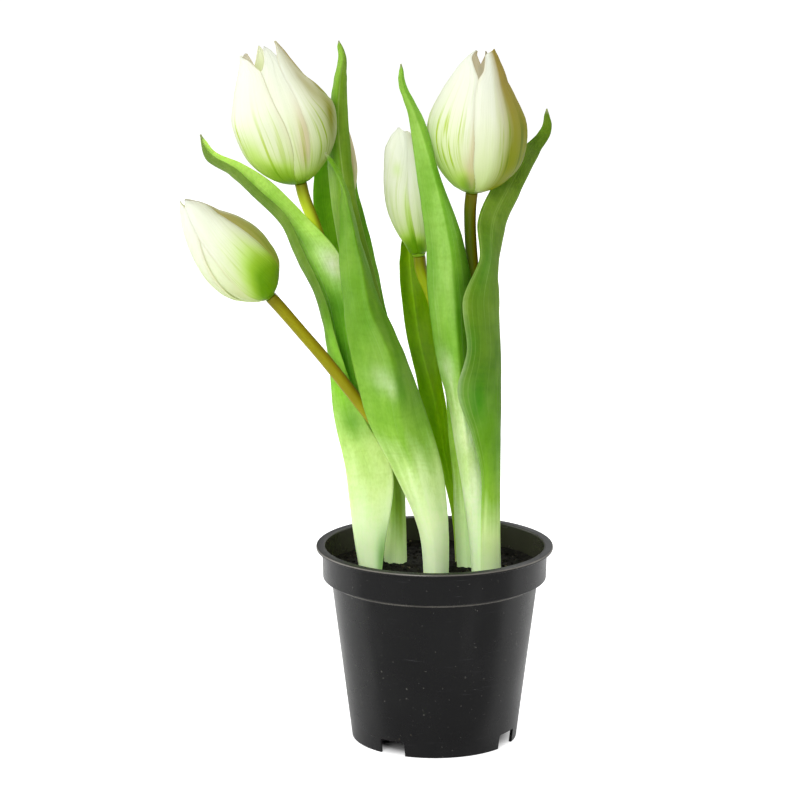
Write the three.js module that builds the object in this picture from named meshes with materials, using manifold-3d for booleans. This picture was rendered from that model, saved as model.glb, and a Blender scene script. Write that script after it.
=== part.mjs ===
// A potted tulip plant: five shoots with white-green flowers in a round nursery pot.
// Millimetres, +Z up. The origin is the middle of the pot's underside; -Y is the front.

import * as THREE from 'three';
import { mergeVertices } from 'three/addons/utils/BufferGeometryUtils.js';
import Module from 'manifold-3d';

const wasm = await Module();
wasm.setup();

// ---------- driving dimensions ----------

const GAP = 0.3; // clearance between pieces that touch

const POT_HEIGHT = 100;
const POT_WALL = 1.6;
const POT_FOOT_RADIUS = 41.9;
const POT_SHOULDER_RADIUS = 52.5; // top of the tapered wall, under the rim band
const POT_SHOULDER_HEIGHT = 83.5;
const POT_BAND_RADIUS = 57;
const POT_LIP_RADIUS = 60;
const POT_LIP_THICKNESS = 1.6;
const POT_FLOOR_HEIGHT = 8; // the ring-shaped floor is raised on the foot wall
const POT_CUP_RADIUS = 18; // the floor's middle is a shallow cup that stands on the ground
const POT_SIDES = 40;
const NOTCH_COUNT = 4;
const NOTCH_FIRST_TURN = -120; // degrees from +X
const NOTCH_WIDTH = 14;
const NOTCH_HEIGHT = 7.5;
const NOTCH_CUT = 8; // how deep the cutter reaches through the wall
const DRAIN_COUNT = 4;
const DRAIN_RADIUS = 3.5;
const DRAIN_CIRCLE = 29;
const DRAIN_SIDES = 8;

const SOIL_HEIGHT = 87;
const SOIL_EDGE_DROP = 0.4; // the soil sinks a little at the pot wall
const SOIL_RINGS = [45, 32, 17]; // circles of points that carry the lumps
const SOIL_LUMP = 0.8;
const HOLE_FLOOR = 79.7; // each shoot stands in a plain hole in the soil
const HOLE_SIDES = 16;

const STEM_RADIUS = 3;
const STEM_SIDES = 8;
const STEM_STEPS = 16;
const NECK = 9; // the straight end of a stem under its bloom

const BULB_NOSE_HEIGHT = 56; // height of the bulb's tip above the ground
const BULB_TALL = 32;
const BULB_PROFILE = [[5, -32], [11, -28], [13, -20], [10, -11], [5, -3], [4, 0]]; // from the tip
const BULB_SIDES = 12;

const BLADE_THICKNESS = 0.8;
const BLADE_ROWS_PER_STATION = 2;
const BLADE_COLUMNS = 4;

const PETAL_THICKNESS = 0.8;
const PETAL_ROWS = 8;
const PETAL_COLUMNS = 4;
const PETAL_STEP = 2.9; // the inner petals stand this far inside the outer ones
const PETAL_LAP = 0.9; // one edge of a petal lies out and the other lies in
const OUTER_HALF = 62; // degrees from a petal's middle to its edge
const INNER_HALF = 56;
const RECEPTACLE_RADIUS = 3.4;

const COLOURS = {
  pot: 0x242426,
  soil: 0x2b1f17,
  leaf: 0x74a53c,
  leafDark: 0x557d2c,
  leafGrey: 0x6c8f55,
  leafOlive: 0x6a8f1f,
  stem: 0x8f8a1e,
  bloom: 0xf2f6df,
  bulb: 0x9a6a3c,
};

// ---------- helpers ----------

const radians = THREE.MathUtils.degToRad;
const point = ([x, y, z]) => new THREE.Vector3(x, y, z);

function paint(name, geometry, colour, roughness) {
  const material = new THREE.MeshStandardMaterial({ color: colour, roughness, metalness: 0 });
  const mesh = new THREE.Mesh(geometry, material);
  mesh.name = name;
  return mesh;
}

// A closed geometry becomes a manifold-3d solid once its shared vertices are merged.
function toSolid(geometry) {
  const bare = geometry.clone();
  bare.deleteAttribute('normal');
  bare.deleteAttribute('uv');
  const merged = mergeVertices(bare, 1e-4);
  const index = merged.index.array;
  const kept = [];
  for (let i = 0; i < index.length; i += 3) {
    const [a, b, c] = [index[i], index[i + 1], index[i + 2]];
    if (a !== b && b !== c && c !== a) {
      kept.push(a, b, c);
    }
  }
  return new wasm.Manifold(new wasm.Mesh({
    numProp: 3,
    vertProperties: new Float32Array(merged.attributes.position.array),
    triVerts: new Uint32Array(kept),
  }));
}

function toGeometry(solid) {
  const mesh = solid.getMesh();
  const geometry = new THREE.BufferGeometry();
  geometry.setAttribute('position', new THREE.BufferAttribute(mesh.vertProperties, 3));
  geometry.setIndex(new THREE.BufferAttribute(mesh.triVerts, 1));
  return geometry;
}

// Joining can leave a scrap or a sealed hollow; the one outer body is what counts.
function mainBody(solid) {
  return solid.decompose().reduce((best, next) => (next.volume() > best.volume() ? next : best));
}

// A profile of [radius, height] pairs turned about +Z.
function turned(profile, sides) {
  const outline = profile.map(([radius, height]) => new THREE.Vector2(radius, height));
  const geometry = new THREE.LatheGeometry(outline, sides);
  geometry.rotateX(Math.PI / 2);
  return geometry;
}

function rod(radius, height, sides, [x, y, z]) {
  const geometry = new THREE.CylinderGeometry(radius, radius, height, sides);
  geometry.rotateX(Math.PI / 2);
  geometry.translate(x, y, z + height / 2);
  return geometry;
}

// A thin closed sheet round a mid-surface. surface(row, across) gives a point for row 0..1 from
// foot to tip and across -1..1; both faces are split into triangles alike.
function sheet(surface, rows, columns, thickness, rowPlace = (share) => share) {
  const middle = [];
  for (let i = 0; i <= rows; i += 1) {
    const line = [];
    for (let j = 0; j <= columns; j += 1) {
      line.push(surface(rowPlace(i / rows), (2 * j) / columns - 1));
    }
    middle.push(line);
  }
  const positions = [];
  for (const side of [1, -1]) {
    for (let i = 0; i <= rows; i += 1) {
      for (let j = 0; j <= columns; j += 1) {
        const up = middle[Math.min(i + 1, rows)][j].clone().sub(middle[Math.max(i - 1, 0)][j]);
        const over = middle[i][Math.min(j + 1, columns)].clone().sub(middle[i][Math.max(j - 1, 0)]);
        const normal = up.cross(over).normalize();
        const place = middle[i][j].clone().addScaledVector(normal, (side * thickness) / 2);
        positions.push(place.x, place.y, place.z);
      }
    }
  }
  const width = columns + 1;
  const back = (rows + 1) * width;
  const at = (i, j) => i * width + j;
  const index = [];
  const wall = (a, b) => index.push(a, b, b + back, a, b + back, a + back);
  for (let i = 0; i < rows; i += 1) {
    for (let j = 0; j < columns; j += 1) {
      const [a, b, c, d] = [at(i, j), at(i, j + 1), at(i + 1, j + 1), at(i + 1, j)];
      index.push(a, c, b, a, d, c);
      index.push(a + back, b + back, c + back, a + back, c + back, d + back);
    }
    wall(at(i + 1, 0), at(i, 0));
    wall(at(i, columns), at(i + 1, columns));
  }
  for (let j = 0; j < columns; j += 1) {
    wall(at(0, j), at(0, j + 1));
    wall(at(rows, j + 1), at(rows, j));
  }
  const geometry = new THREE.BufferGeometry();
  geometry.setAttribute('position', new THREE.Float32BufferAttribute(positions, 3));
  geometry.setIndex(index);
  return geometry;
}

// ---------- pot ----------

const wallRadius = (height) => POT_FOOT_RADIUS
  + ((POT_SHOULDER_RADIUS - POT_FOOT_RADIUS) * height) / POT_SHOULDER_HEIGHT;
const POT_FLOOR_TOP = POT_FLOOR_HEIGHT + POT_WALL;
const POT_LEDGE = POT_SHOULDER_HEIGHT + POT_WALL;
const POT_MOUTH_RADIUS = POT_BAND_RADIUS - POT_WALL;

function potSolid() {
  const cupInside = POT_CUP_RADIUS - POT_WALL;
  const shell = toSolid(turned([
    [0, 0],
    [POT_CUP_RADIUS, 0],
    [POT_CUP_RADIUS, POT_FLOOR_HEIGHT],
    [wallRadius(POT_FLOOR_HEIGHT) - POT_WALL, POT_FLOOR_HEIGHT],
    [POT_FOOT_RADIUS - POT_WALL, 0],
    [POT_FOOT_RADIUS, 0],
    [POT_SHOULDER_RADIUS, POT_SHOULDER_HEIGHT],
    [POT_BAND_RADIUS, POT_SHOULDER_HEIGHT],
    [POT_BAND_RADIUS, POT_HEIGHT - POT_LIP_THICKNESS],
    [POT_LIP_RADIUS, POT_HEIGHT - POT_LIP_THICKNESS],
    [POT_LIP_RADIUS, POT_HEIGHT],
    [POT_MOUTH_RADIUS, POT_HEIGHT],
    [POT_MOUTH_RADIUS, POT_LEDGE],
    [wallRadius(POT_LEDGE) - POT_WALL, POT_LEDGE],
    [wallRadius(POT_FLOOR_TOP) - POT_WALL, POT_FLOOR_TOP],
    [cupInside, POT_FLOOR_TOP],
    [cupInside, POT_WALL],
    [0, POT_WALL],
  ], POT_SIDES));
  let pot = shell;
  for (let i = 0; i < NOTCH_COUNT; i += 1) {
    const notch = new THREE.BoxGeometry(NOTCH_CUT, NOTCH_WIDTH, 2 * NOTCH_HEIGHT);
    notch.translate(POT_FOOT_RADIUS, 0, 0);
    notch.rotateZ(radians(NOTCH_FIRST_TURN + (360 * i) / NOTCH_COUNT));
    pot = pot.subtract(toSolid(notch));
  }
  for (let i = 0; i < DRAIN_COUNT; i += 1) {
    const turn = (2 * Math.PI * (i + 0.5)) / DRAIN_COUNT;
    const [x, y] = [DRAIN_CIRCLE * Math.cos(turn), DRAIN_CIRCLE * Math.sin(turn)];
    const drain = rod(DRAIN_RADIUS, POT_WALL + 2, DRAIN_SIDES, [x, y, POT_FLOOR_HEIGHT - 1]);
    pot = pot.subtract(toSolid(drain));
  }
  return pot;
}

// ---------- shoots ----------
// A flower stem is drawn from its bulb to its bloom; foot is where it leaves the ground.
// A petal is [turn in degrees from +X, reach as a share of the bloom, how far its tip tucks in];
// the first three petals are the outer ones.
// A leaf is drawn as stations from foot to tip, each [one margin, mid-rib, other margin].

const FLOWERS = [
  {
    name: 'top_left',
    bulb: [-27, -5],
    hole: { centre: [-31.5, -4.5], radius: 9.8 },
    path: [[-30, -2, 80], [-32, 0, 107], [-35, 4, 138], [-39, 8, 173], [-45, 9, 204], [-51, 10, 230],
      [-58, 9, 256]],
    base: [-67, 5, 284],
    tip: [-85, -15, 354],
    radius: 25,
    open: 1,
    petals: [[-152, 0.97, 0], [-4, 0.86, 0.05], [102, 0.98, 0],
      [-84, 1, 0], [40, 0.84, 0.1], [160, 0.95, 0]],
  },
  {
    name: 'low_left',
    bulb: [-4, -27],
    hole: { centre: [-1, -20], radius: 10.6 },
    path: [[0, -13, 80], [-2, -14, 111], [-8, -15, 132], [-17, -16, 150], [-34, -19, 173],
      [-53, -21, 198], [-66, -23, 214]],
    base: [-81, -25, 232],
    tip: [-123, -30, 281],
    radius: 18,
    open: 0,
    petals: [[-61, 1, 0.3], [-183, 0.99, 0], [60, 0.98, 0.45],
      [-120, 0.94, 0.1], [0, 0.94, 0.45], [120, 0.94, 0.2]],
  },
  {
    name: 'centre',
    bulb: [19, 20],
    hole: { centre: [16.3, 8], radius: 8.8 },
    path: [[16, 8, 80], [15, 9, 110], [13, 10, 147], [9.5, 11, 172], [5, 11, 198], [-1, 12, 223]],
    base: [-8, 12, 246],
    tip: [-18, 12, 311],
    radius: 12.4,
    open: 0,
    petals: [[-110, 1, 0], [10, 0.98, 0], [130, 0.98, 0],
      [-50, 0.94, 0], [70, 0.94, 0], [190, 0.95, 0]],
  },
  {
    name: 'top_right',
    bulb: [25, -12],
    hole: { centre: [27.5, -11.5], radius: 12 },
    path: [[27, -3, 80], [27, -3, 113], [26, -3, 145], [24, -3, 175], [21, -3, 206], [19, -1, 237],
      [17.5, 0, 258]],
    base: [18, 0, 280],
    tip: [24, -3, 352],
    radius: 24,
    open: 0.6,
    petals: [[-152, 0.98, 0], [-28, 1, 0.25], [90, 1, 0.1],
      [-90, 0.93, 0.1], [30, 0.96, 0.3], [150, 0.97, 0.05]],
  },
  {
    name: 'back_left',
    bulb: [-13, 24],
    hole: { centre: [-20, 13.5], radius: 9.6 },
    path: [[-20, 13.5, 80], [-20, 14, 109], [-22, 16, 140], [-27, 19, 171], [-33, 22, 201],
      [-38, 25, 232]],
    base: [-45, 28, 269],
    tip: [-49, 28, 316],
    radius: 8.6,
    open: 0,
    petals: [[-90, 1, 0], [30, 0.98, 0], [150, 0.98, 0],
      [-30, 0.94, 0], [90, 0.94, 0], [210, 0.95, 0]],
  },
];

const LEAVES = [
  {
    name: 'leaf_left',
    colour: COLOURS.leaf,
    stations: [
      [[-38, 1, 80], [-37, -7, 80], [-26, -10, 80]],
      [[-37, 2, 103], [-39, -7, 104], [-25, -11, 102]],
      [[-37, 1, 138], [-43, -7, 136], [-21, -12, 140]],
      [[-31, -1, 170], [-50, -6, 168], [-35, -13, 168]],
      [[-37, 0, 203], [-53, -5, 201], [-47, -12, 202]],
      [[-42, 1, 228], [-58, -4, 226], [-54.5, -11, 228]],
      [[-48, 1, 249], [-68, -4, 248], [-65, -9, 252]],
      [[-63, 3, 266], [-76, -4, 265], [-74, -8, 270]],
      [[-81, 4, 284], [-89, -3, 278], [-87, -7, 282]],
      [[-96, 3, 294], [-101, -2, 289], [-99, -6, 293]],
      [[-109, 2, 300], [-113, -1, 297], [-111, -4, 300]],
      [[-115, 1, 308], [-116, -1, 309], [-117, -2, 308]],
    ],
  },
  {
    name: 'leaf_tall',
    colour: COLOURS.leafGrey,
    stations: [
      [[-26, 10, 80], [-20, 6, 80], [-14, 10, 80]],
      [[-25, 12, 120], [-20, 5, 122], [-15, 11, 120]],
      [[-30, 10, 157], [-23, 3, 159], [-17, 9, 157]],
      [[-36, 10, 193], [-28, 2, 195], [-21, 9, 193]],
      [[-43, 12, 224], [-34, 3, 225], [-27, 9, 224]],
      [[-49, 14, 254], [-42, 4, 256], [-35, 10, 255]],
      [[-53, 16, 279], [-46, 7, 281], [-40, 12, 279]],
      [[-54, 18, 309], [-49, 10, 310], [-43, 14, 310]],
      [[-51, 16, 332], [-48, 10, 333], [-44, 13, 332]],
      [[-48.5, 13, 345], [-46, 11, 346], [-44, 13, 345]],
      [[-49, 12, 353], [-48, 12, 354], [-47, 12, 353]],
    ],
  },
  {
    name: 'leaf_back',
    colour: COLOURS.leafDark,
    stations: [
      [[-26, 17, 80], [-20, 21, 80], [-14, 17, 80]],
      [[-26, 22, 117], [-20, 28, 116], [-15, 21, 118]],
      [[-33, 28, 153], [-24, 35, 152], [-16, 26, 154]],
      [[-42, 33, 189], [-30, 40, 187], [-19, 30, 189]],
      [[-51, 37, 219], [-38, 44, 218], [-26, 34, 220]],
      [[-59, 40, 250], [-46, 47, 249], [-33, 38, 250]],
      [[-62, 41, 273], [-50, 48, 272], [-39, 39, 273]],
      [[-60, 41, 291], [-51, 46, 291], [-41, 40, 291]],
      [[-55, 40, 307], [-50, 43, 308], [-45, 40, 306]],
      [[-50, 40, 318], [-49, 41, 319], [-48, 40, 318]],
    ],
  },
  {
    name: 'leaf_front',
    colour: COLOURS.leaf,
    stations: [
      [[-9, -18, 80], [-1, -26, 80], [7, -18, 80]],
      [[-10, -19, 112], [-3, -29, 112], [7, -17, 112]],
      [[-21, -22, 144], [-10, -34, 148], [4, -16, 142]],
      [[-33, -25, 169], [-16, -37, 168], [-3, -16, 168]],
      [[-41, -26, 201], [-22, -37, 202], [-14, -15, 198]],
      [[-45, -23, 225], [-32, -34, 226], [-25, -12, 223]],
      [[-47, -20, 249], [-37, -29, 250], [-34, -11, 247]],
      [[-47, -17, 271], [-42, -23, 272], [-40, -12, 271]],
      [[-47, -15, 288], [-46, -18, 287], [-43.5, -14, 286]],
      [[-53, -13, 301], [-54, -15, 302], [-53, -15, 303]],
    ],
  },
  {
    name: 'leaf_right',
    colour: COLOURS.leaf,
    stations: [
      [[20, -7, 80], [20.5, -14, 80], [25, -17, 80]],
      [[17, -10, 110], [19.5, -18, 112], [27, -17, 113]],
      [[13, -14, 137], [17.5, -22, 139], [27, -17, 139]],
      [[7, -17, 173], [14, -26, 175], [24, -15, 172]],
      [[0, -17, 204], [11, -26, 206], [20, -11, 203]],
      [[-4, -15, 233], [9, -23, 234], [19, -8, 231]],
      [[-5, -14, 262], [6, -21, 262], [13, -9, 260]],
      [[-9, -13, 291], [-1, -19, 292], [2, -13, 290]],
      [[-13, -11, 318], [-9, -14, 318], [-5, -10, 316]],
      [[-18, -9, 335], [-16, -10, 334], [-14, -8, 333]],
      [[-17.5, -8, 344], [-17, -8.5, 345], [-16, -8, 344]],
    ],
  },
  {
    name: 'leaf_waved',
    colour: COLOURS.leafGrey,
    stations: [
      [[23, -21, 80], [32, -14, 80], [33, -3, 80]],
      [[23, -22, 113], [32, -14, 111], [30, 0, 107]],
      [[23, -25, 142], [32, -15, 140], [30, 3, 135]],
      [[18, -29, 164], [32, -15, 161], [29, 6, 156]],
      [[12, -33, 185], [32, -14, 181], [27, 8, 176]],
      [[14, -33, 207], [32, -12, 203], [26, 10, 198]],
      [[14, -29, 231], [31, -9, 228], [25, 12, 224]],
      [[21, -21, 249], [31, -5, 246], [27, 14, 243]],
      [[21, -9, 267], [35, 3, 265], [30, 15, 263]],
      [[27, 5, 280], [42, 12, 279], [35, 20, 278]],
      [[39, 16, 296], [51, 15, 297], [45, 20, 298]],
      [[52, 10, 310], [57, 9, 310], [53, 13, 312]],
      [[54, 8, 321], [55, 7, 321], [56, 8, 321]],
    ],
  },
  {
    name: 'leaf_olive',
    colour: COLOURS.leafOlive,
    stations: [
      [[11, 9, 80], [16, 15, 80], [21.5, 9, 80]],
      [[9, 12, 110], [13, 18, 108], [18, 12, 110]],
      [[2, 16, 140], [6, 23, 138], [9, 16, 140]],
      [[-7, 18, 171], [0, 26, 169], [5, 18, 171]],
      [[-13, 19, 199], [-7, 28, 197], [1, 20, 199]],
      [[-17, 21, 224], [-11, 30, 223], [-4, 21, 224]],
      [[-18, 24, 243], [-13, 31, 243], [-8, 25, 244]],
      [[-16, 27, 259], [-13, 31, 259], [-10, 28, 259]],
      [[-13, 29, 271], [-12, 30, 272], [-11, 29, 271]],
    ],
  },
  {
    name: 'leaf_small',
    colour: COLOURS.leafDark,
    stations: [
      [[12, 3, 80], [17, 0, 80], [21, 3, 80]],
      [[10, 3, 112], [15, 0, 113], [19, 4, 112]],
      [[9, 3, 135], [14, 0, 136], [18, 3, 135]],
      [[7, 4, 156], [11, 1, 157], [14, 4, 156]],
      [[6, 5, 170], [8, 3, 171], [10, 5, 170]],
      [[5, 5, 180], [6, 4, 181], [7, 5, 180]],
    ],
  },
];

// The blade's cross-section at each station is the parabola through its three points.
function leafGeometry(stations) {
  const curves = [0, 1, 2].map((k) => new THREE.CatmullRomCurve3(
    stations.map((station) => point(station[k])),
    false,
    'catmullrom',
    0.5,
  ));
  const surface = (share, across) => {
    const [left, rib, right] = curves.map((curve) => curve.getPoint(share));
    return rib.multiplyScalar(1 - across * across)
      .addScaledVector(left, (across * across - across) / 2)
      .addScaledVector(right, (across * across + across) / 2);
  };
  const rows = (stations.length - 1) * BLADE_ROWS_PER_STATION;
  return sheet(surface, rows, BLADE_COLUMNS, BLADE_THICKNESS);
}

// ---------- blooms ----------
// The petals lie on an egg whose radius along its axis is a share of the bloom's radius.

const CLOSED_EGG = [[0, 0.2], [0.03, 0.38], [0.09, 0.58], [0.17, 0.78], [0.27, 0.93], [0.4, 1],
  [0.55, 0.93], [0.7, 0.79], [0.83, 0.58], [0.94, 0.32], [1, 0.13]];
const OPEN_EGG = [[0, 0.2], [0.03, 0.37], [0.09, 0.58], [0.17, 0.77], [0.27, 0.92], [0.4, 1],
  [0.52, 1], [0.63, 0.91], [0.75, 0.73], [0.88, 0.54], [1, 0.4]];

function eggRadius(open, along) {
  const at = (egg) => {
    const next = Math.max(1, egg.findIndex(([height]) => height >= along - 1e-9));
    const [[low, from], [high, to]] = [egg[next - 1], egg[next]];
    return from + ((to - from) * (along - low)) / (high - low);
  };
  return at(CLOSED_EGG) * (1 - open) + at(OPEN_EGG) * open;
}

// A petal keeps its full width to beyond the middle, then rounds in to its tip.
function petalOutline(along) {
  const beyond = Math.max(0, (along - 0.5) / 0.5);
  return Math.max(0.03, Math.sqrt(1 - beyond ** 2.6));
}

function bloomSolid({ base, tip, radius, open, petals }) {
  const axis = point(tip).sub(point(base));
  const tall = axis.length();
  axis.normalize();
  const side = new THREE.Vector3(1, 0, 0);
  side.addScaledVector(axis, -side.dot(axis)).normalize();
  const front = axis.clone().cross(side);
  const place = (x, y, z) => point(base).addScaledVector(side, x).addScaledVector(front, y)
    .addScaledVector(axis, z);
  const frameOfBloom = new THREE.Matrix4().makeBasis(side, front, axis).setPosition(point(base));

  const knob = turned([
    [0, 0],
    [RECEPTACLE_RADIUS, 0],
    [Math.max(RECEPTACLE_RADIUS, 0.3 * radius), 0.03 * tall],
    [0.22 * radius, 0.07 * tall],
    [0, 0.08 * tall],
  ], 12);
  knob.applyMatrix4(frameOfBloom);
  let bloom = toSolid(knob);
  const ease = (share) => (1 - Math.cos(Math.PI * share)) / 2;
  petals.forEach(([turn, reach, tuck], i) => {
    const inner = i < 3 ? 0 : 1;
    const half = inner ? INNER_HALF : OUTER_HALF;
    const surface = (share, across) => {
      const along = share * reach;
      const egg = eggRadius(open, along) * (1 - tuck * Math.max(0, 2 * along - 1));
      const grown = Math.min(1, 0.4 + share / 0.4) * Math.min(1, egg * 1.3);
      const out = radius * egg + grown * (PETAL_LAP * across - PETAL_STEP * inner);
      const swing = radians(turn + half * petalOutline(share) * across);
      return place(out * Math.cos(swing), out * Math.sin(swing), 1 + (tall - 1) * along);
    };
    bloom = bloom.add(toSolid(sheet(surface, PETAL_ROWS, PETAL_COLUMNS, PETAL_THICKNESS, ease)));
  });
  return mainBody(bloom);
}

// ---------- stems and bulbs ----------

function stemGeometry({ bulb, path, base, tip }, radius, reach = 0) {
  const axis = point(tip).sub(point(base)).normalize();
  const [x, y] = bulb;
  const foot = BULB_NOSE_HEIGHT + GAP + 0.1 - reach;
  const route = [
    new THREE.Vector3(x, y, foot),
    new THREE.Vector3(x, y, BULB_NOSE_HEIGHT + 5),
    ...path.map(point),
    point(base).addScaledVector(axis, -NECK),
    point(base).addScaledVector(axis, -GAP),
  ];
  const outline = new THREE.Shape();
  outline.absarc(0, 0, radius, 0, 2 * Math.PI, false);
  return new THREE.ExtrudeGeometry(outline, {
    curveSegments: STEM_SIDES / 2,
    steps: STEM_STEPS,
    bevelEnabled: false,
    extrudePath: new THREE.CatmullRomCurve3(route, false, 'catmullrom', 0.5),
  });
}

// grow thickens the outline all round, for the pocket that the bulb sits in.
function bulbGeometry([x, y], grow) {
  const lift = (height) => BULB_NOSE_HEIGHT + height + grow * (1 + (2 * height) / BULB_TALL);
  const geometry = turned([
    [0, lift(-BULB_TALL)],
    ...BULB_PROFILE.map(([radius, height]) => [radius + grow, lift(height)]),
    [0, lift(0)],
  ], BULB_SIDES);
  geometry.translate(x, y, 0);
  return geometry;
}

// ---------- soil ----------

function soilSolid() {
  const edge = wallRadius(POT_LEDGE) - POT_WALL - GAP;
  const geometry = turned([
    [0, POT_WALL + GAP],
    [POT_CUP_RADIUS - POT_WALL - GAP, POT_WALL + GAP],
    [POT_CUP_RADIUS - POT_WALL - GAP, POT_FLOOR_TOP + GAP],
    [wallRadius(POT_FLOOR_TOP) - POT_WALL - GAP, POT_FLOOR_TOP + GAP],
    [edge, POT_LEDGE + GAP],
    [POT_MOUTH_RADIUS - GAP, POT_LEDGE + GAP],
    [POT_MOUTH_RADIUS - GAP, SOIL_HEIGHT - SOIL_EDGE_DROP],
    ...SOIL_RINGS.map((radius) => [radius, SOIL_HEIGHT]),
    [0, SOIL_HEIGHT],
  ], POT_SIDES);
  const spots = geometry.attributes.position;
  for (let i = 0; i < spots.count; i += 1) {
    const [x, y, z] = [spots.getX(i), spots.getY(i), spots.getZ(i)];
    if (z > SOIL_HEIGHT - SOIL_EDGE_DROP / 2) {
      const lump = Math.sin(0.31 * x + 1) * Math.cos(0.37 * y) + 0.5 * Math.sin(0.23 * (x - y));
      spots.setZ(i, z + SOIL_LUMP * lump);
    }
  }
  let soil = toSolid(geometry);
  for (const flower of FLOWERS) {
    const { centre, radius } = flower.hole;
    const hole = rod(radius, SOIL_HEIGHT, HOLE_SIDES, [...centre, HOLE_FLOOR]);
    soil = soil.subtract(toSolid(hole));
    soil = soil.subtract(toSolid(stemGeometry(flower, STEM_RADIUS + 3 * GAP, 1)));
    soil = soil.subtract(toSolid(bulbGeometry(flower.bulb, GAP)));
  }
  return mainBody(soil);
}

// ---------- the plant ----------

const plant = new THREE.Group();
plant.add(paint('pot', toGeometry(potSolid()), COLOURS.pot, 0.45));
plant.add(paint('soil', toGeometry(soilSolid()), COLOURS.soil, 0.95));
for (const flower of FLOWERS) {
  plant.add(paint(`bulb_${flower.name}`, bulbGeometry(flower.bulb, 0), COLOURS.bulb, 0.6));
  plant.add(paint(`stem_${flower.name}`, stemGeometry(flower, STEM_RADIUS), COLOURS.stem, 0.5));
  plant.add(paint(`bloom_${flower.name}`, toGeometry(bloomSolid(flower)), COLOURS.bloom, 0.5));
}
for (const leaf of LEAVES) {
  plant.add(paint(leaf.name, leafGeometry(leaf.stations), leaf.colour, 0.55));
}

export default plant;
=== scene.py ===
# %% [markdown]
# # A potted tulip
#
# Five tulip shoots stand in a round black nursery pot. Each shoot is a bulb, one flower stem, one
# flower and a few long leaves. We load the solid model as a frame, build every piece again with
# finer meshes that follow the same lines, and give each one a finish made of shader nodes.

# %% Load the frame
import math

import bmesh
import bpy
import numpy as np
from mathutils import Matrix, Vector


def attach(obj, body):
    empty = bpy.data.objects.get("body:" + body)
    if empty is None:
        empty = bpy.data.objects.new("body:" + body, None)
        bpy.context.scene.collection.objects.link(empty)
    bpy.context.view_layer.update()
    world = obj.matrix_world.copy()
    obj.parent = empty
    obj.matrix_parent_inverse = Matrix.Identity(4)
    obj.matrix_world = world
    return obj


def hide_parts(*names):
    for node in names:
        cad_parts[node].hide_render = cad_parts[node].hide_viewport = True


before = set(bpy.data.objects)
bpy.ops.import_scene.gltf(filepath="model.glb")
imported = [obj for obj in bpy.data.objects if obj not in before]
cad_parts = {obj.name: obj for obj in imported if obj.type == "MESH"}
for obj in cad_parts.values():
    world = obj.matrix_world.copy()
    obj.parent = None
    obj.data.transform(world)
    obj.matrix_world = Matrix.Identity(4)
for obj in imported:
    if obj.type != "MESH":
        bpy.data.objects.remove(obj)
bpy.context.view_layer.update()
MM = 0.001

# %% [markdown]
# ## Curves, sheets and tubes
#
# Leaves, petals and stems are all swept along curves. One helper runs a smooth curve through a few
# guide points. Another turns a grid of points into a thin closed sheet with two faces and rounded
# margins. Every helper works in millimetres; only `add_piece` turns them into metres.

# %% A smooth curve through guide points
def through(points, shares):
    """Points on the smooth curve through the guide points, at shares 0 to 1 of the way along."""
    guide = np.asarray(points, float)
    guide = np.concatenate([[2 * guide[0] - guide[1]], guide, [2 * guide[-1] - guide[-2]]])
    place = np.clip(shares, 0, 1) * (len(guide) - 3)
    first = np.minimum(place.astype(int), len(guide) - 4)
    t = (place - first).reshape((-1,) + (1,) * (guide.ndim - 1))
    a, b, c, d = (guide[first + k] for k in range(4))
    return 0.5 * (2 * b + (c - a) * t + (2 * a - 5 * b + 4 * c - d) * t**2
                  + (3 * b - a - 3 * c + d) * t**3)


# %% [markdown]
# ### Soft bumps
#
# Nothing that grows is quite even. `bumps` gives the same soft, random hills each time it is asked:
# it draws random numbers at the crossings of a square net and runs smoothly between them. We use
# it for the soil, the waves of the leaves and the swell of the petals.

# %% Soft random bumps
NET = 64  # crossings a side, after which the bumps repeat
FAR = 1000  # keeps every place above zero, so that rounding down always goes the same way


def bumps(x, y, size, seed):
    """Soft random height, -1 to 1, that changes over about `size` in x and y."""
    lattice = np.random.default_rng(seed).uniform(-1, 1, (NET, NET))
    x, y = np.asarray(x) / size + FAR, np.asarray(y) / size + FAR
    i, j = np.floor(x).astype(int), np.floor(y).astype(int)
    u, v = x - i, y - j
    u, v = u * u * (3 - 2 * u), v * v * (3 - 2 * v)

    def at(a, b):
        return lattice[a % NET, b % NET]

    low = at(i, j) * (1 - u) + at(i + 1, j) * u
    high = at(i, j + 1) * (1 - u) + at(i + 1, j + 1) * u
    return low * (1 - v) + high * v


# %% [markdown]
# ### Thin sheets
#
# A leaf or a petal is far thinner than it is wide, but it does have two faces and an edge. A
# Solidify modifier could thicken a flat grid; doing it here lets the thickness change from place
# to place, so that margins come out thin and rounded.

# %% A thin sheet with two faces
def unit(vectors):
    return vectors / np.maximum(np.linalg.norm(vectors, axis=-1, keepdims=True), 1e-9)


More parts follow.
